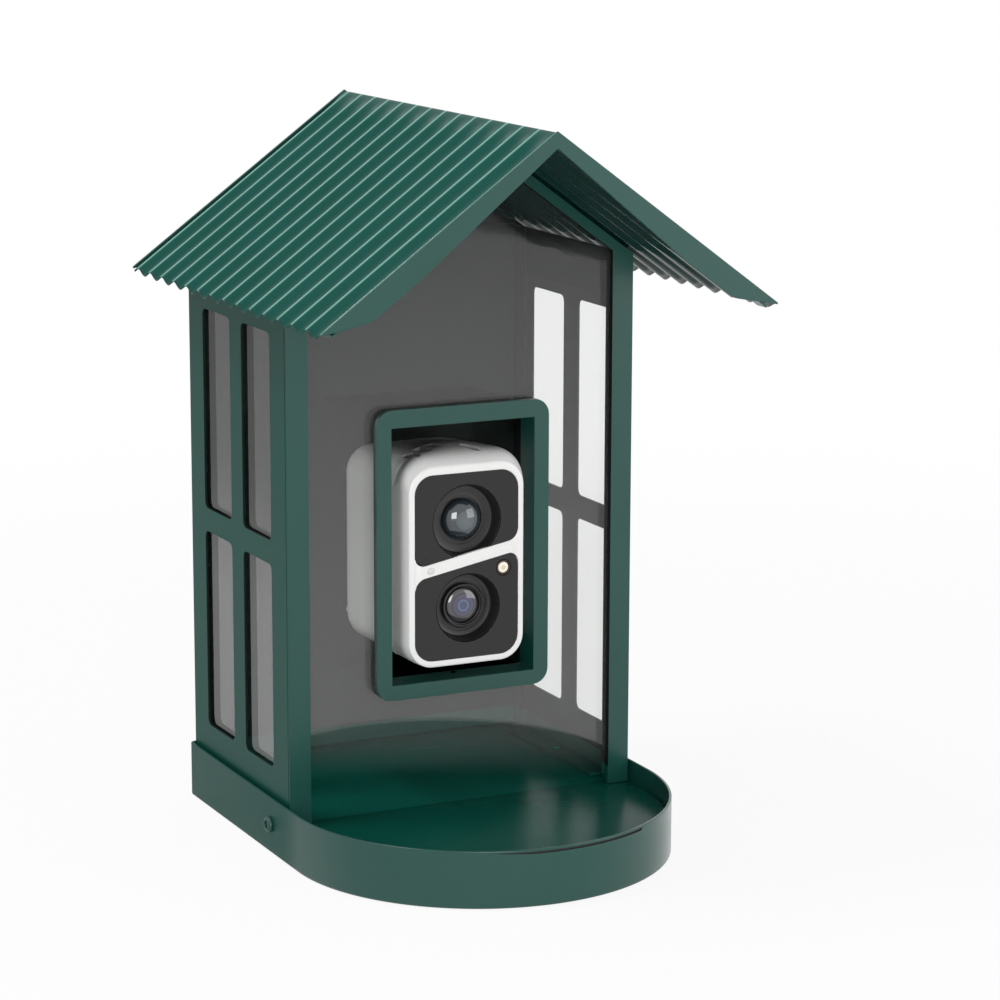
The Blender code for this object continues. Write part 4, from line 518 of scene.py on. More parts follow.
dome_rings = ((0.0, (0.085, 0.105, 0.12)), (0.44, (0.06, 0.078, 0.09)), (0.48, (0.02, 0.026, 0.032)),
              (0.62, (0.03, 0.04, 0.048)), (0.9, (0.018, 0.024, 0.028)), (1.0, (0.01, 0.012, 0.014)))
lens_rings = ((0.0, (0.03, 0.07, 0.075)), (0.22, (0.035, 0.05, 0.14)), (0.3, (0.13, 0.14, 0.26)),
              (0.38, (0.03, 0.036, 0.11)), (0.6, (0.06, 0.052, 0.085)), (0.66, (0.014, 0.014, 0.02)),
              (0.8, (0.06, 0.058, 0.066)), (1.0, (0.02, 0.02, 0.022)))
dome_finish = ringed("coated_dome", "upper_lens_dome", 0.0092, dome_rings, coat_weight=1.0).material
lens_finish = ringed("coated_lens", "lower_lens_glass", 0.0076, lens_rings, coat_weight=1.0).material
finishes["lens_glass"] = lens_finish
print("lenses")

# %% Lamp lenses
lamp_rings = ((0.0, (0.86, 0.72, 0.52)), (0.34, (0.62, 0.5, 0.34)), (0.44, (0.9, 0.84, 0.72)),
              (0.85, (0.88, 0.82, 0.72)), (1.0, (0.55, 0.42, 0.28)))
finishes["light_lens"] = ringed("lamp_lens", "status_light", 0.0025, lamp_rings, 0.18).material
ring_finish = moulded("lamp_ring", (0.03, 0.018, 0.012), 0.3, 900.0, 0.05).material
indicator_finish = moulded("indicator_lens", (0.66, 0.66, 0.65), 0.16, 900.0, 0.05).material
print("lamps")

# %% [markdown]
# ## The tray
# The tray is one strip of sheet, bent round a half circle at the front and folded under to a
# bottom. Its profile is carried along the outline: a rolled bottom bend, the wall, a fine slit
# under the folded rim at the front, the rounded rim, and the inner wall.

# %% Tray outline
tray_low, tray_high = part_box("tray")
TRAY_HALF, TRAY_REAR = tray_high.x, tray_high.y
TRAY_BEND = tray_low.y + TRAY_HALF
TRAY_CORNER = 0.003
ARC_STEPS, CORNER_STEPS = 240, 8


def tray_outline(inset):
    """Outline (x, y) of the tray, drawn in by an inset.

    Front: (r sin a, bend - r cos a) for a from -90 to 90 degrees. Rear: two quarter circles."""
    radius = TRAY_HALF - inset
    arc = np.linspace(-math.pi / 2, math.pi / 2, ARC_STEPS + 1)
    front = np.stack([radius * np.sin(arc), TRAY_BEND - radius * np.cos(arc)], axis=1)
    corner = max(TRAY_CORNER - inset, 0.0002)
    quarter = np.linspace(0, math.pi / 2, CORNER_STEPS + 1)
    rear = np.stack([radius - corner + corner * np.cos(quarter),
                     TRAY_REAR - inset - corner + corner * np.sin(quarter)], axis=1)
    return np.vstack([front, rear, rear[::-1] * (-1, 1)])


def bend(radius, steps=6):
    """Quarter bend as (inset, height) pairs, from the underside up to the wall."""
    turn = np.linspace(0, math.pi / 2, steps + 1)
    return np.stack([radius * (1 - np.sin(turn)), radius * (1 - np.cos(turn))], axis=1)


print("tray outline:", len(tray_outline(0)), "points")

# %% Tray pan
SHEET = 0.0012
SLIT_DEPTH, SLIT_LOW, SLIT_HIGH = 0.001, 0.023, 0.0241
SLIT_FADE, SLIT_START, SLIT_END = -0.031, -0.012, 0.042


def slit_share(x, y):
    """0 away from the slit, rising to 1 along the front curve between its faded and its cut end."""
    rise = np.clip((x - SLIT_FADE) / (SLIT_START - SLIT_FADE), 0, 1)
    return rise ** 0.7 * (x < SLIT_END) * (y < TRAY_BEND)


def tray_pan():
    """Rows of the profile (inset, height), each laid along the outline drawn in by its inset."""
    rim, height = 0.00035, tray_high.z
    rolled = bend(rim, 4)
    rows = [*bend(0.0011), (0, 0.004), (0, 0.0225), (0, SLIT_LOW), (SLIT_DEPTH, SLIT_LOW),
            (SLIT_DEPTH, SLIT_HIGH), (0, SLIT_HIGH), *(rolled[::-1] * (1, -1) + (0, height)),
            *(rolled * (-1, -1) + (SHEET, height)), (SHEET, 0.015), (SHEET, SHEET)]
    layers = []
    for inset, z in rows:
        flat = tray_outline(inset)
        share = slit_share(flat[:, 0], flat[:, 1])[:, None]
        if inset == SLIT_DEPTH:
            flat = share * flat + (1 - share) * tray_outline(0)
        drop = share[:, 0] * (SLIT_HIGH - SLIT_LOW)
        level = SLIT_HIGH - drop if z == SLIT_LOW else np.full(len(flat), z)
        layers.append(np.column_stack([flat, level]))
    return close_up(grid_mesh("tray", np.array(layers)), 40)


tray_piece = stand_in("seed_tray", tray_pan(), "tray", finish=tray_finish)
(face_x, face_y, face_z), _ = face_table(tray_piece.data)
sunk = TRAY_HALF - np.hypot(face_x, face_y - TRAY_BEND)
at_height = (face_z > SLIT_LOW - 0.0002) & (face_z < SLIT_HIGH + 0.0002)
# The slit's inner faces take black rubber: painted shade inside the slit.
slit_shade_faces = (sunk > 0.0003) & (sunk < SLIT_DEPTH + 0.0001) & at_height & (face_y < TRAY_BEND)
coat_some(tray_piece, slit_shade_faces, finishes["rubber"])

# %% Tray floor
def tray_floor():
    """An upturned pan: its flange stands inside the tray and its top is the seed floor."""
    low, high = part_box("tray_floor")
    skin = TRAY_HALF - high.x
    turn = bend(0.0008, 5)[::-1] * (1, -1) + (skin, high.z)
    rows = [(skin + SHEET, high.z - SHEET), (skin + SHEET, low.z), (skin, low.z), *turn]
    count = len(tray_outline(0))
    layers = [np.column_stack([tray_outline(inset), np.full(count, z)]) for inset, z in rows]
    return close_up(grid_mesh("tray_floor", np.array(layers)), 40)


stand_in("seed_floor", tray_floor(), "tray_floor", finish=floor_finish)

# %% [markdown]
# ## The corrugated roof
# Corrugated sheet is a cosine wave, carried down both slopes. Near the ridge the roller lifts off,
# so the wave dies out over the last centimetre. Solidify gives the skin its thickness.

# %% Roof sheet
roof_low, roof_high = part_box("roof_sheet")
_, fascia_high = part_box("roof_front_fascia")
ROOF_HALF, RIDGE = fascia_high.x, fascia_high.z
SLOPE, RIDGE_ROUND = 0.7301, 0.0008
WAVE, FADE, ROOF_SHEET = 0.0023, 0.012, 0.0008


def roof_skin(samples=18, strips=44):
    """Height z(x, y) = ridge - slope sqrt(x^2 + r^2) - wave trough(y) fade(x).

    trough(y) = (1 - cos(2 pi (y - crest) / pitch)) / 2."""
    count = round((roof_high.y - roof_low.y) / PITCH * samples)
    y = np.linspace(roof_low.y, roof_high.y, count)[:, None]
    side = np.linspace(-1, 1, 2 * strips + 1)[None, :]
    x = np.sign(side) * ROOF_HALF * np.abs(side) ** 1.5
    share = np.clip(np.abs(x) / FADE, 0, 1)
    fade = share ** 2 * (3 - 2 * share)
    trough = (1 - np.cos(2 * math.pi * (y - LAST_CREST) / PITCH)) / 2
    z = RIDGE - SLOPE * np.hypot(x, RIDGE_ROUND) - WAVE * trough * fade
    return np.stack(np.broadcast_arrays(x, y, z), axis=-1)


roof_mesh = grid_mesh("roof", roof_skin(), close_columns=False, caps=False)
roof_mesh.shade_smooth()
if roof_mesh.polygons[0].normal.z < 0:
    roof_mesh.flip_normals()
roof_piece = stand_in("corrugated_roof", roof_mesh, "roof_sheet")
solid = roof_piece.modifiers.new("sheet", "SOLIDIFY")
solid.thickness, solid.offset = ROOF_SHEET, -1.0
# The underside gets the darker green: painted shade under the roof.
roof_piece.data.materials.append(under_shade_finish)
solid.material_offset = 1
print("crests on each slope:", int((roof_high.y - roof_low.y) / PITCH))

# %% [markdown]
# ## Folded sheet pieces
# Walls, posts, fascias and bracket are right in the CAD, but real sheet has no razor edges, and
# the thin highlight along an edge is what makes it read as metal. A copy of each is merged, its
# flat faces are joined up, and a Bevel rolls its edges over.

# %% Copy a CAD piece with rolled edges
FLAT = math.radians(0.6)


def flat_faced_copy(node):
    """Copy of a CAD node's mesh: doubled points merged and coplanar triangles joined."""
    shape = bmesh.new()
    shape.from_mesh(nodes[node].data)
    bmesh.ops.remove_doubles(shape, verts=shape.verts, dist=CAD_MERGE)
    bmesh.ops.dissolve_limit(shape, angle_limit=FLAT, verts=shape.verts, edges=shape.edges)
    shape.verts.index_update()
    points = [tuple(corner.co) for corner in shape.verts]
    faces = [[corner.index for corner in face.verts] for face in shape.faces]
    shape.free()
    mesh = bpy.data.meshes.new(node)
    mesh.from_pydata(points, [], faces)
    return mesh


def roll_edges(piece, radius, steps=2, crease=35.0):
    """Roll every edge sharper than the crease angle over a radius."""
    edge = piece.modifiers.new("rolled_edges", "BEVEL")
    edge.width, edge.segments, edge.limit_method = radius, steps, "ANGLE"
    edge.angle_limit, edge.harden_normals = math.radians(crease), True
    return piece


def rolled(node, radius, steps=2, finish=None):
    """Stand-in for a CAD node whose edges are rolled over a radius."""
    mesh = shaded(flat_faced_copy(node))
    return roll_edges(stand_in(node + "_finished", mesh, node, finish=finish), radius, steps)


def roll_all(names, radius, finish=None):
    """Stand-ins for several CAD nodes."""
    for node in names.split():
        rolled(node, radius, finish=finish)


FOLD, CUT, TURNED_EDGE = 0.0003, 0.0002, 0.00015
for node in ("left_wall", "right_wall", "front_frame", "rear_wall"):
    coat_wall(rolled(node, FOLD))
roll_all("roof_front_fascia roof_rear_fascia rear_bracket", FOLD)
gable_piece = rolled("rear_gable_plate", FOLD)
# The gable plate's inner face takes the near-black painted shade of the bin.
_, (_, toward_rear, _) = face_table(gable_piece.data)
coat_some(gable_piece, toward_rear < -0.5, painted_shade_finish)
# The panel retainers take the same near-black painted shade.
roll_all("left_panel_retainer right_panel_retainer", CUT, painted_shade_finish)
rolled("camera_bezel", FOLD)

# %% Foam strip on the rear wall
# A rectangle whose top bulges by the root of cos is carried along x.
_, wall_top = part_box("rear_wall")
STRIP_HALF, STRIP_BULGE = 0.0788, 0.00045
across = np.linspace(-1, 1, 13)
bulge = STRIP_BULGE * np.cos(across * math.pi / 2) ** 0.5
strip_y = wall_top.y - 0.0006 + 0.0005 * np.append(across, (1, -1))
strip_z = wall_top.z + np.append(bulge - 0.0001, (-0.0004, -0.0004))
strip_x = np.array([[-STRIP_HALF], [STRIP_HALF]])
strip_rows = np.stack(np.broadcast_arrays(strip_x, strip_y, strip_z), axis=-1)
strip = new_object("foam_strip", close_up(grid_mesh("foam_strip", strip_rows)))
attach(strip, body_of_node("rear_wall"))
strip.data.materials.append(finishes["rubber"])
print("foam strip")

# %% Clear sheets and the seal
rolled("front_panel", 0.00005)
roll_all("left_pane right_pane", CUT, pane_finish)
sleeve = rolled("camera_sleeve", CUT, finish=sleeve_finish)
roll_all("bezel_seal camera_washer", CUT)

# %% Dark top and bottom of the sleeve
# Painted black, they keep light off the camera's top and stand for the shade in the opening: painted
# shade.
_, (_, _, upright) = face_table(sleeve.data)
coat_some(sleeve, np.abs(upright) > SQUARE, painted_shade_black)

# %% Fittings of metal and rubber
roll_all("wall_hinge_leaf roof_hinge_leaf hinge_pin left_bracket_screw right_bracket_screw "
         "thumb_screw power_button port_flap", TURNED_EDGE)
roll_all("left_foot_rivet right_foot_rivet", TURNED_EDGE, floor_finish)
# The sleeve's screws take the same black.
roll_all("upper_sleeve_screw lower_sleeve_screw", TURNED_EDGE, painted_shade_black)

# %% [markdown]
# ## Turned pieces
# Screws, lens cups, the dome and the barrel are turned: a profile of radius and height goes round
# an axis.

# %% Profiles round an axis
SIDES = 96


def full_turn(sides=SIDES):
    """Angles from 0 to just below 2 pi."""
    return np.linspace(0, 2 * math.pi, sides, endpoint=False)


def turned(name, profile, centre, sides=SIDES):
    """P(u, v) = centre + r(v) (cos 2 pi u * a + sin 2 pi u * b) + h(v) * forward axis."""
    profile = np.array(profile, float)
    axis = np.array((0.0, -1.0, 0.0))
    first = np.cross(axis, (0.3, 0.5, 0.8))
    first /= np.linalg.norm(first)
    second = np.cross(axis, first)
    angle = full_turn(sides)
    circle = np.cos(angle)[:, None] * first + np.sin(angle)[:, None] * second
    points = np.array(centre) + profile[:, :1, None] * circle + profile[:, 1:, None] * axis
    return close_up(grid_mesh(name, points, caps=profile[0][0] > 0 and profile[-1][0] > 0))


def softened(corners, radius, steps=4):
    """Profile with each inner corner replaced by a parabola that starts a radius before it."""
    corners = np.array(corners, float)
    t = np.linspace(0, 1, steps + 1)[:, None]
    parts = [corners[:1]]
    for before, corner, after in zip(corners, corners[1:], corners[2:]):
        start, end = [corner + arm * min(radius / np.linalg.norm(arm), 0.5)
                      for arm in (before - corner, after - corner)]
        parts.append((1 - t) ** 2 * start + 2 * t * (1 - t) * corner + t ** 2 * end)
    return np.vstack([*parts, corners[-1:]])


print("profiles can be turned")

# %% Hex socket screws of the tray
def socket_screw(side):
    """Button head with a hexagonal socket.

    Radius of the socket's ring: h cos 30 / cos(a mod 60 - 30), blended into a circle outside it."""
    node = ("left" if side < 0 else "right") + "_tray_screw"
    low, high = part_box(node)
    centre = (low + high) / 2
    head, proud = (high.z - low.z) / 2, 0.0018
    seat = TRAY_HALF + 0.0003
    angle = full_turn()
    sixth = np.mod(angle, math.pi / 3) - math.pi / 6
    hexagon = math.cos(math.pi / 6) / np.cos(sixth)
    rings = [(0.0, 0.0, 1), (0.0019, 0.0004, 1), (0.002, proud - 0.0002, 1), (0.0021, proud, 0.8),
             (0.0026, proud - 0.0001, 0), (0.0032, proud - 0.0006, 0), (head, proud - 0.0012, 0),
             (head, 0.0, 0), (0.00125, 0.0, 0), (0.00125, -0.005, 0), (0.0, -0.0053, 0)]
    layers = []
    for radius, height, six in rings:
        around = radius * (six * hexagon + 1 - six)
        layers.append(np.stack([np.full(SIDES, side * (seat + height)),
                                centre.y + around * np.cos(angle),
                                centre.z + around * np.sin(angle)], axis=1))
    mesh = close_up(grid_mesh(node, np.array(layers), caps=False), 30)
    stand_in(node + "_finished", mesh, node, finish=screw_finish)


for side in (-1, 1):
    socket_screw(side)

# %% [markdown]
# ## The camera's casing
# The front shell is a rounded box whose face is smaller than its body: its top leans back over
# 14 mm and its sides over 7 mm. The skin starts at the edge of the black windows, runs over a
# narrow flat ring, and then follows a rounded rectangle that grows with depth.

# %% Rounded rectangles at a depth
def rounded_ring(y, half, low, high, radius, corner_steps=40, side_steps=76):
    """Closed ring (x, y, z) of a rounded rectangle, from the lower right corner upwards.

    Each corner is a quarter circle, and each side is divided evenly between two of them."""
    quarter = np.linspace(0, math.pi / 2, corner_steps + 1)
    hubs = [(half - radius, low + radius, -math.pi / 2), (half - radius, high - radius, 0.0),
            (-half + radius, high - radius, math.pi / 2), (-half + radius, low + radius, math.pi)]
    corners = [np.stack([x + radius * np.cos(quarter + start), z + radius * np.sin(quarter + start)],
                        axis=1) for x, z, start in hubs]
    share = np.linspace(0, 1, side_steps + 1)[1:-1, None]
    parts = []
    for corner, after in zip(corners, corners[1:] + corners[:1]):
        parts += [corner, corner[-1] * (1 - share) + after[0] * share]
    flat = np.vstack(parts)
    return np.column_stack([flat[:, 0], np.full(len(flat), y), flat[:, 1]])


case_low, case_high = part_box("camera_front_shell")
_, rear_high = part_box("camera_rear_shell")
_, upper_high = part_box("upper_window")
lower_low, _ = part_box("lower_window")
FRONT, SEAM = case_low.y, 0.018
print("casing in mm:", [round(1000 * v, 1) for v in (case_high.x, case_low.z, case_high.z)])

# %% Front shell
PANE_DEPTH = 0.0014
face = np.array((case_high.x - upper_high.x, case_high.z - upper_high.z, lower_low.z - case_low.z))


def case_draw(depth):
    """Draw of sides, top and bottom at a depth behind the face: draw (1 - depth / length)^2."""
    side = 0.0014 * (1 - min(depth / 0.007, 1)) ** 2
    top = 0.0078 * (1 - min(depth / 0.014, 1)) ** 2
    return np.array((side, top, 0.0002))


def crowned(points):
    """Lower the upper part of the casing: z - share (0.16 (y - 12 mm) + arch(y) (x / half)^2).

    share rises evenly from 0 to 1 between 21 and 11.5 mm below the top. arch is 8 mm at the seam,
    and fades out over 13 mm in front and over the whole length behind."""
    x, y, z = np.moveaxis(points, -1, 0)
    share = np.clip((z - (case_high.z - 0.021)) / 0.0095, 0, 1)
    front = np.clip((y + 0.001) / 0.013, 0, 1)
    rear = np.clip((rear_high.y - y) / (rear_high.y - SEAM), 0, 1)
    arch = 0.008 * front ** 2 * (3 - 2 * front) * rear ** 1.5
    droop = 0.16 * np.clip(y - 0.012, 0, None)
    return np.stack([x, y, z - share * (droop + arch * (x / case_high.x) ** 2)], axis=-1)


POCKETS = ((-0.0146, 0.011, 0.002, 0.0062, 0.0016), (-0.009, 0.012, 0.0026, 0.0054, 0.0006))
GROOVES = ((-0.02, 0.0098, math.radians(93), 0.0078, 0.0017),
           (0.0051, 0.004, math.radians(-28.6), 0.0048, 0.0013))
GROOVE_DEPTH = 0.0017


def recess(x, y):
    """Depth of the catch's recess: two grip grooves, a deep pocket and a shallow slot.

    A groove is (1 - u^2 - v^2)^0.5 deep, with u along it and v across it. A pocket is flat, with
    steep sides: 9 (1 - the larger of |x| / half and |y| / half), cut off at 1."""
    dip = np.zeros_like(x)
    for middle_x, middle_y, half_x, half_y, deep in POCKETS:
        reach = np.maximum(np.abs(x - middle_x) / half_x, np.abs(y - middle_y) / half_y)
        dip = np.maximum(dip, deep * np.clip(9 * (1 - reach), 0, 1))
    for middle_x, middle_y, turn, length, width in GROOVES:
        right, deep = x - middle_x, y - middle_y
        u = (right * math.cos(turn) + deep * math.sin(turn)) / length
        v = (deep * math.cos(turn) - right * math.sin(turn)) / width
        dip = np.maximum(dip, GROOVE_DEPTH * np.clip(1 - u ** 2 - v ** 2, 0, 1) ** 0.5)
    return dip


def scooped(points):
    """Press the recess into the crown, but not into the walls below it."""
    x, y, z = np.moveaxis(points, -1, 0)
    on_top = np.clip((z - (case_high.z - 0.014)) / 0.004, 0, 1)
    return np.stack([x, y, z - recess(x, y) * on_top], axis=-1)


def front_shell():
    """Rows: window seat, flat ring, rolled edge, then the growing section back to the seam."""
    flat_ring = face - (0.0011, 0.0011, 0.0009)
    rows = [(FRONT + PANE_DEPTH, face, 0.0085)]
    rows += [(FRONT + 0.0004 * (1 - math.sin(t)), face - 0.0004 * (1 - math.cos(t)), 0.0085)
             for t in np.linspace(0, math.pi / 2, 5)]
    rows.append((FRONT, flat_ring, 0.0095))
    rolled_edge = case_draw(0.0006)
    for t in np.linspace(0.2, 1, 6):
        mix = flat_ring * (1 - t) ** 2 + 2 * t * (1 - t) * case_draw(0) + rolled_edge * t ** 2
        rows.append((FRONT + 0.0006 * t ** 2, mix, 0.0095 + 0.002 * t))
    rows += [(FRONT + depth, case_draw(depth), 0.0115)
             for depth in np.linspace(0.0011, SEAM - FRONT - 0.0002, 64)]
    for draw, radius in ((0.0003, 0.0115), (0.0018, 0.01)):
        rows.append((SEAM - 0.0002, np.full(3, draw), radius))
    rings = [rounded_ring(y, case_high.x - side, case_low.z + foot, case_high.z - top, radius)
             for y, (side, top, foot), radius in rows]
    return grid_mesh("front_shell", crowned(scooped(np.array(rings))), caps=False)


BAR_FOOT, BAR_WIDTH, BAR_SLOPE, BAR_FLARE = 0.1238, 0.0055, 0.19, 0.005


def slanted_bar():
    """The white bar between the windows: its lower edge is z = foot + slope x.

    At both ends it flares out in a quarter circle, as the windows' corners are round."""
    across = np.linspace(-upper_high.x - 0.00015, upper_high.x + 0.00015, 60)
    profile = np.array([(0.0, PANE_DEPTH), (0.0, 0.0002), (0.0002, 0.0), (BAR_WIDTH - 0.0002, 0.0),
                        (BAR_WIDTH, 0.0002), (BAR_WIDTH, PANE_DEPTH)])
    into_corner = np.clip(np.abs(across) - upper_high.x + BAR_FLARE, 0, BAR_FLARE)
    corner = BAR_FLARE - np.sqrt(BAR_FLARE ** 2 - into_corner ** 2)
    spread = (profile[:, 0] / BAR_WIDTH - 0.5) * 2
    z = BAR_FOOT + profile[:, 0] + BAR_SLOPE * across[:, None] + corner[:, None] * spread
    y = FRONT - 0.00004 + profile[:, 1]
    return np.stack(np.broadcast_arrays(across[:, None], y, z), axis=-1)


shell = bmesh.new()
shell.from_mesh(front_shell())
shell.from_mesh(grid_mesh("bar", slanted_bar()))
shell_mesh = bpy.data.meshes.new("front_shell_and_bar")
shell.to_mesh(shell_mesh)
shell.free()
front_piece = stand_in("camera_front", close_up(shell_mesh, 40), "camera_front_shell")
DARK_DEPTH, CROWN_FOOT = 0.0007, 0.16
# Faces deep in the recess take the dark grey: painted shade.
(face_x, face_y, face_z), _ = face_table(front_piece.data)
deep_face = (recess(face_x, face_y) > DARK_DEPTH) & (face_z > CROWN_FOOT)
coat_some(front_piece, deep_face, groove_shade_finish)

# %% Rear shell and the gasket
def shell_copy(node, radius):
    """Copy of a casing part, cut every 2.6 mm across and every 5 mm along, and bent to the crown."""
    mesh = flat_faced_copy(node)
    shape = bmesh.new()
    shape.from_mesh(mesh)
    for axis, places in ((Vector((1, 0, 0)), np.arange(-9, 10) * 0.0026),
                         (Vector((0, 1, 0)), SEAM + np.arange(1, 9) * 0.005)):
        for place in places:
            everything = [*shape.verts, *shape.edges, *shape.faces]
            bmesh.ops.bisect_plane(shape, geom=everything, dist=CAD_MERGE,
                                   plane_co=axis * place, plane_no=axis)
    shape.to_mesh(mesh)
    shape.free()
    points = np.empty(3 * len(mesh.vertices), dtype=np.float32)
    mesh.vertices.foreach_get("co", points)
    mesh.vertices.foreach_set("co", crowned(points.reshape(-1, 3)).ravel())
    mesh.update()
    roll_edges(stand_in(node + "_finished", shaded(mesh, 40), node), radius, crease=40)


shell_copy("camera_rear_shell", 0.0004)
shell_copy("case_seal", 0.0002)

# %% Black windows
roll_all("upper_window lower_window", 0.00012)

# %% [markdown]
# ## Lenses
# Each lens sits at the bottom of a cup that is sunk into its window. The upper one has a large
# dome; the lower one a stepped barrel with a flatter glass.

# %% Cups
def lens_cup(node, floor_radius):
    """A sunk cup: a narrow lip, a tapering wall with fine steps, and a ring-shaped floor."""
    low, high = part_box(node)
    radius, deep = (high.x - low.x) / 2, high.y - low.y
    wall = [(radius - 0.0003 - 0.00012 * i, -0.0006 - 0.0012 * i) for i in range(5)]
    stepped = [point for r, h in wall for point in ((r, h), (r - 0.0001, h - 0.0002))]
    corners = [(radius, -deep), (radius, -0.0002), (radius - 0.0001, -0.00008), *stepped,
               (radius - 0.0014, -deep + 0.001), (floor_radius + 0.0015, -deep + 0.0008),
               (floor_radius, -deep + 0.001), (floor_radius, -deep), (radius, -deep)]
    middle = (low + high) / 2
    mesh = turned(node, softened(corners, 0.0001, 2), (middle.x, FRONT, middle.z))
    stand_in(node + "_finished", mesh, node)


lens_cup("upper_lens_cup", 0.01)
lens_cup("lower_lens_cup", 0.0104)

# %% Dome, barrel and glass
def crown(radius, height, steps=20):
    """Quarter ellipse (r sin t, h cos t), from the top down to the edge."""
    t = np.linspace(0, math.pi / 2, steps + 1)
    return list(zip(radius * np.sin(t), height * np.cos(t)))


def domed(node, name, height=None, rim=None, steps=20, sides=96, finish=None):
    """A low dome with a straight rim and a flat back, in the box that the CAD gives it.

    Height and rim together are the depth of the box, so one of them is enough."""
    low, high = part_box(node)
    radius, middle, depth = (high.x - low.x) / 2, (low + high) / 2, high.y - low.y
    height, rim = (depth - rim, rim) if rim else (height, depth - height)
    profile = crown(radius, height, steps) + [(radius, -rim), (0.0, -rim)]
    mesh = turned(name, profile, (middle.x, high.y - rim, middle.z), sides)
    stand_in(name, mesh, node, finish=finish)


domed("upper_lens_dome", "upper_lens_dome_glass", rim=0.001, finish=dome_finish)
domed("lower_lens_glass", "lower_lens_front_glass", rim=0.0016)

low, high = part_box("lower_lens_barrel")
middle, radius = (low + high) / 2, (high.x - low.x) / 2
barrel_profile = softened([(0.008, -0.01), (0.008, -0.0016), (0.0083, -0.001), (0.0086, -0.001),
                           (0.0088, 0.0), (0.0094, 0.0), (radius, -0.0003), (radius, -0.01),
                           (0.008, -0.01)], 0.0001, 3)
barrel_mesh = turned("barrel", barrel_profile, (middle.x, low.y, middle.z))
stand_in("lower_lens_ring", barrel_mesh, "lower_lens_barrel")

# %% Status light, its ring and the indicator
domed("status_light", "status_lamp", height=0.0005, steps=8, sides=48)
rolled("status_light_ring", CUT, steps=3, finish=ring_finish)


def pill(half_length=0.0004, radius=0.0015, proud=0.00045):
    """A small window in the bar: a stadium that shrinks by cos t and rises by sin t."""
    low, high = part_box("indicator_light")
    middle = (low + high) / 2
    angle = full_turn(48)
    lift = np.linspace(0, math.pi / 2, 9)[:, None]
    along = half_length * np.clip(3 * np.cos(angle), -1, 1) + radius * np.cos(lift) * np.cos(angle)
    upright = radius * np.cos(lift) * np.sin(angle)
    slope = math.atan(BAR_SLOPE)
    x = middle.x + along * math.cos(slope) - upright * math.sin(slope)
    z = middle.z - 0.0002 + along * math.sin(slope) + upright * math.cos(slope)
    rows = np.stack(np.broadcast_arrays(x, FRONT - proud * np.sin(lift), z), axis=-1)
    return np.concatenate([rows[:1] + (0, 0.0008, 0), rows])


pill_mesh = close_up(grid_mesh("indicator", pill()))
stand_in("indicator_pill", pill_mesh, "indicator_light", finish=indicator_finish)

# %% Microphone port
# A dark rubber disc, a little proud, stands for the port's hole: painted shade.
low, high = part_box("microphone")
middle = (low + high) / 2
mic_profile = [(0.0, 0.00004), (0.00062, 0.00004), (0.00068, 0.0), (0.00068, -0.0012), (0.0, -0.0012)]
mic_mesh = turned("microphone_hole_shade", mic_profile, (middle.x, FRONT, middle.z), 32)
stand_in("microphone_hole_shade", mic_mesh, "microphone", finish=finishes["rubber"])

# %% [markdown]
# ## Pieces that stay as CAD
# What lies inside the casing keeps its CAD shape. Each piece still gets its real finish, because
# the camera can be slid out.

# %% Finishes for the CAD nodes that stay
kept = [piece for piece in nodes.values() if not piece.hide_render]
for piece in kept:
    piece.data.materials[0] = finishes[finish_slot[piece.name]]
print("kept as CAD:", ", ".join(sorted(piece.name for piece in kept)))

# %% [markdown]
# ## Floor, light and camera
# A product shot like this is lit from all round, so that paint shows its own colour. The key soft
# box stands in front, a weaker one at the right, and a small one hangs high on the left, where it
# draws the thin highlights along the corrugation.

# %% Floor
WHITE = (1.0, 1.0, 1.0, 1.0)


def rays(tree):
    """Whether a ray comes from the camera, from a mirror or through glass, as three values."""
    path = tree.nodes.new("ShaderNodeLightPath")
    return [Amount(tree, path.outputs[f"Is {kind} Ray"])
            for kind in ("Camera", "Glossy", "Transmission")]


# The camera sees the large pale disc as white but for the soft shadow. A mirror shows it white in
# front of the feeder and at its right only, so that glossy pieces have something to reflect.
FLOOR_RADIUS, FLOOR_LEVEL, FLOOR_SIDES = 2.5, -0.0004, 64
angle = full_turn(FLOOR_SIDES)
edge = np.stack([FLOOR_RADIUS * np.cos(angle), FLOOR_RADIUS * np.sin(angle),
                 np.full(FLOOR_SIDES, FLOOR_LEVEL)], axis=1)
floor_mesh = bpy.data.meshes.new("floor")
floor_mesh.from_pydata(edge.tolist(), [], [list(range(FLOOR_SIDES))])
floor = new_object("studio_floor", floor_mesh)
pale = Finish("pale_floor", base_color=(0.8, 0.8, 0.8), roughness=0.9)
seen, mirrored, through = rays(pale.tree)
away = pale.node("ShaderNodeVectorMath", {"operation": "LENGTH"}, {0: pale.place}, out="Value")
in_front = pale.axis("Y").ramp(-0.1, 0.25, 0.85, 0.0)
at_right = pale.axis("X").ramp(0.06, 0.12, 0.0, 0.9)
at_left = pale.axis("X").ramp(-0.2, -0.06, 0.35, 1.0)
beside = at_left * in_front.maths("MAXIMUM", at_right)
near = away.ramp(0.35, 1.1, 0.9, 1.0)
share = near * seen.maths("MAXIMUM", through) + beside * mirrored
white = pale.node("ShaderNodeEmission", values={"Color": WHITE, "Strength": 1.0})
pale.show(share, pale.skin, white)
floor_mesh.materials.append(pale.material)
print("floor")

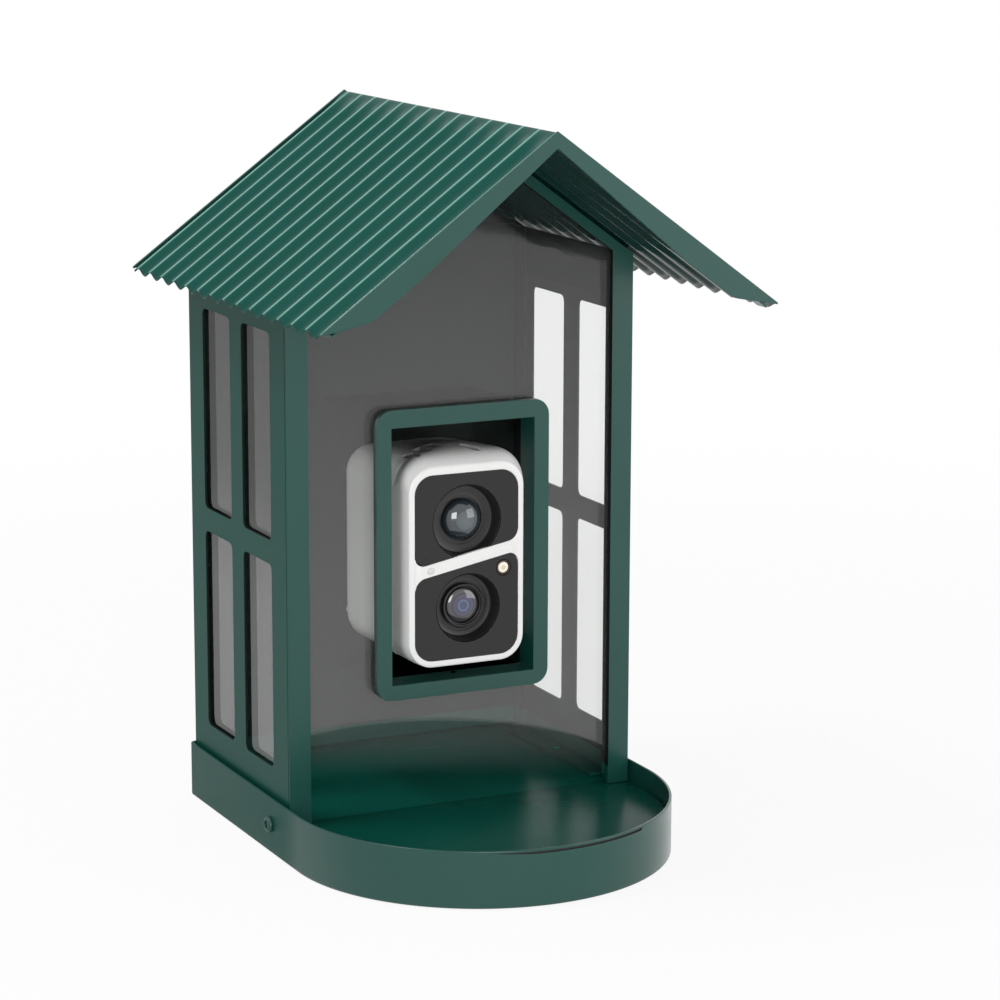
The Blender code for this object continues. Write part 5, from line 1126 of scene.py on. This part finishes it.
# %% World
# Its light has one even level. Seen directly, in a mirror or through glass it is plain white.
LEVEL = 0.62
world = bpy.data.worlds.new("studio")
world.use_nodes = True
tree = world.node_tree
tree.nodes.clear()
seen, mirrored, through = rays(tree)
shown = seen.maths("MAXIMUM", mirrored.maths("MAXIMUM", through))
background = tree.nodes.new("ShaderNodeBackground")
background.inputs["Color"].default_value = WHITE
feed(tree, background.inputs["Strength"], LEVEL + (1 - LEVEL) * shown)
output = tree.nodes.new("ShaderNodeOutputWorld")
tree.links.new(background.outputs[0], output.inputs[0])
bpy.context.scene.world = world
print("world")

# %% Soft boxes
MIDDLE = Vector((0.0, 0.0, 0.15))


def soft_box(name, place, size, power):
    """A square lamp that looks at the middle of the feeder."""
    lamp_data = bpy.data.lights.new(name, "AREA")
    lamp_data.shape, lamp_data.size, lamp_data.energy = "SQUARE", size, power
    box = new_object(name, lamp_data)
    box.location = place
    box.rotation_euler = (MIDDLE - Vector(place)).to_track_quat("-Z", "Y").to_euler()


soft_box("key", (-0.55, -1.6, 0.42), 0.7, 11.5)
soft_box("fill", (1.2, -1.2, 0.36), 0.9, 5.5)
soft_box("top", (-0.75, 0.15, 1.5), 0.45, 9.5)
print("three soft boxes")

# %% Camera
AZIMUTH, ELEVATION, ROLL = math.radians(-25.88), math.radians(11.79), math.radians(0.17)
back = Vector((math.sin(AZIMUTH) * math.cos(ELEVATION), -math.cos(AZIMUTH) * math.cos(ELEVATION),
               math.sin(ELEVATION)))
level_right = Vector((math.cos(AZIMUTH), math.sin(AZIMUTH), 0.0))
level_up = back.cross(level_right)
right = level_right * math.cos(ROLL) + level_up * math.sin(ROLL)
up = level_up * math.cos(ROLL) - level_right * math.sin(ROLL)
camera_data = bpy.data.cameras.new("camera")
camera_data.lens, camera_data.sensor_width = 120.7, 36.0
camera_data.clip_start, camera_data.clip_end = 0.05, 20.0
camera = new_object("camera", camera_data)
turn = Matrix((right, up, back)).transposed().to_4x4()
camera.matrix_world = Matrix.Translation((-0.6041, -1.2817, 0.448)) @ turn
bpy.context.scene.camera = camera
bpy.context.scene.view_settings.view_transform = "Standard"
print("camera at the photograph's angle")
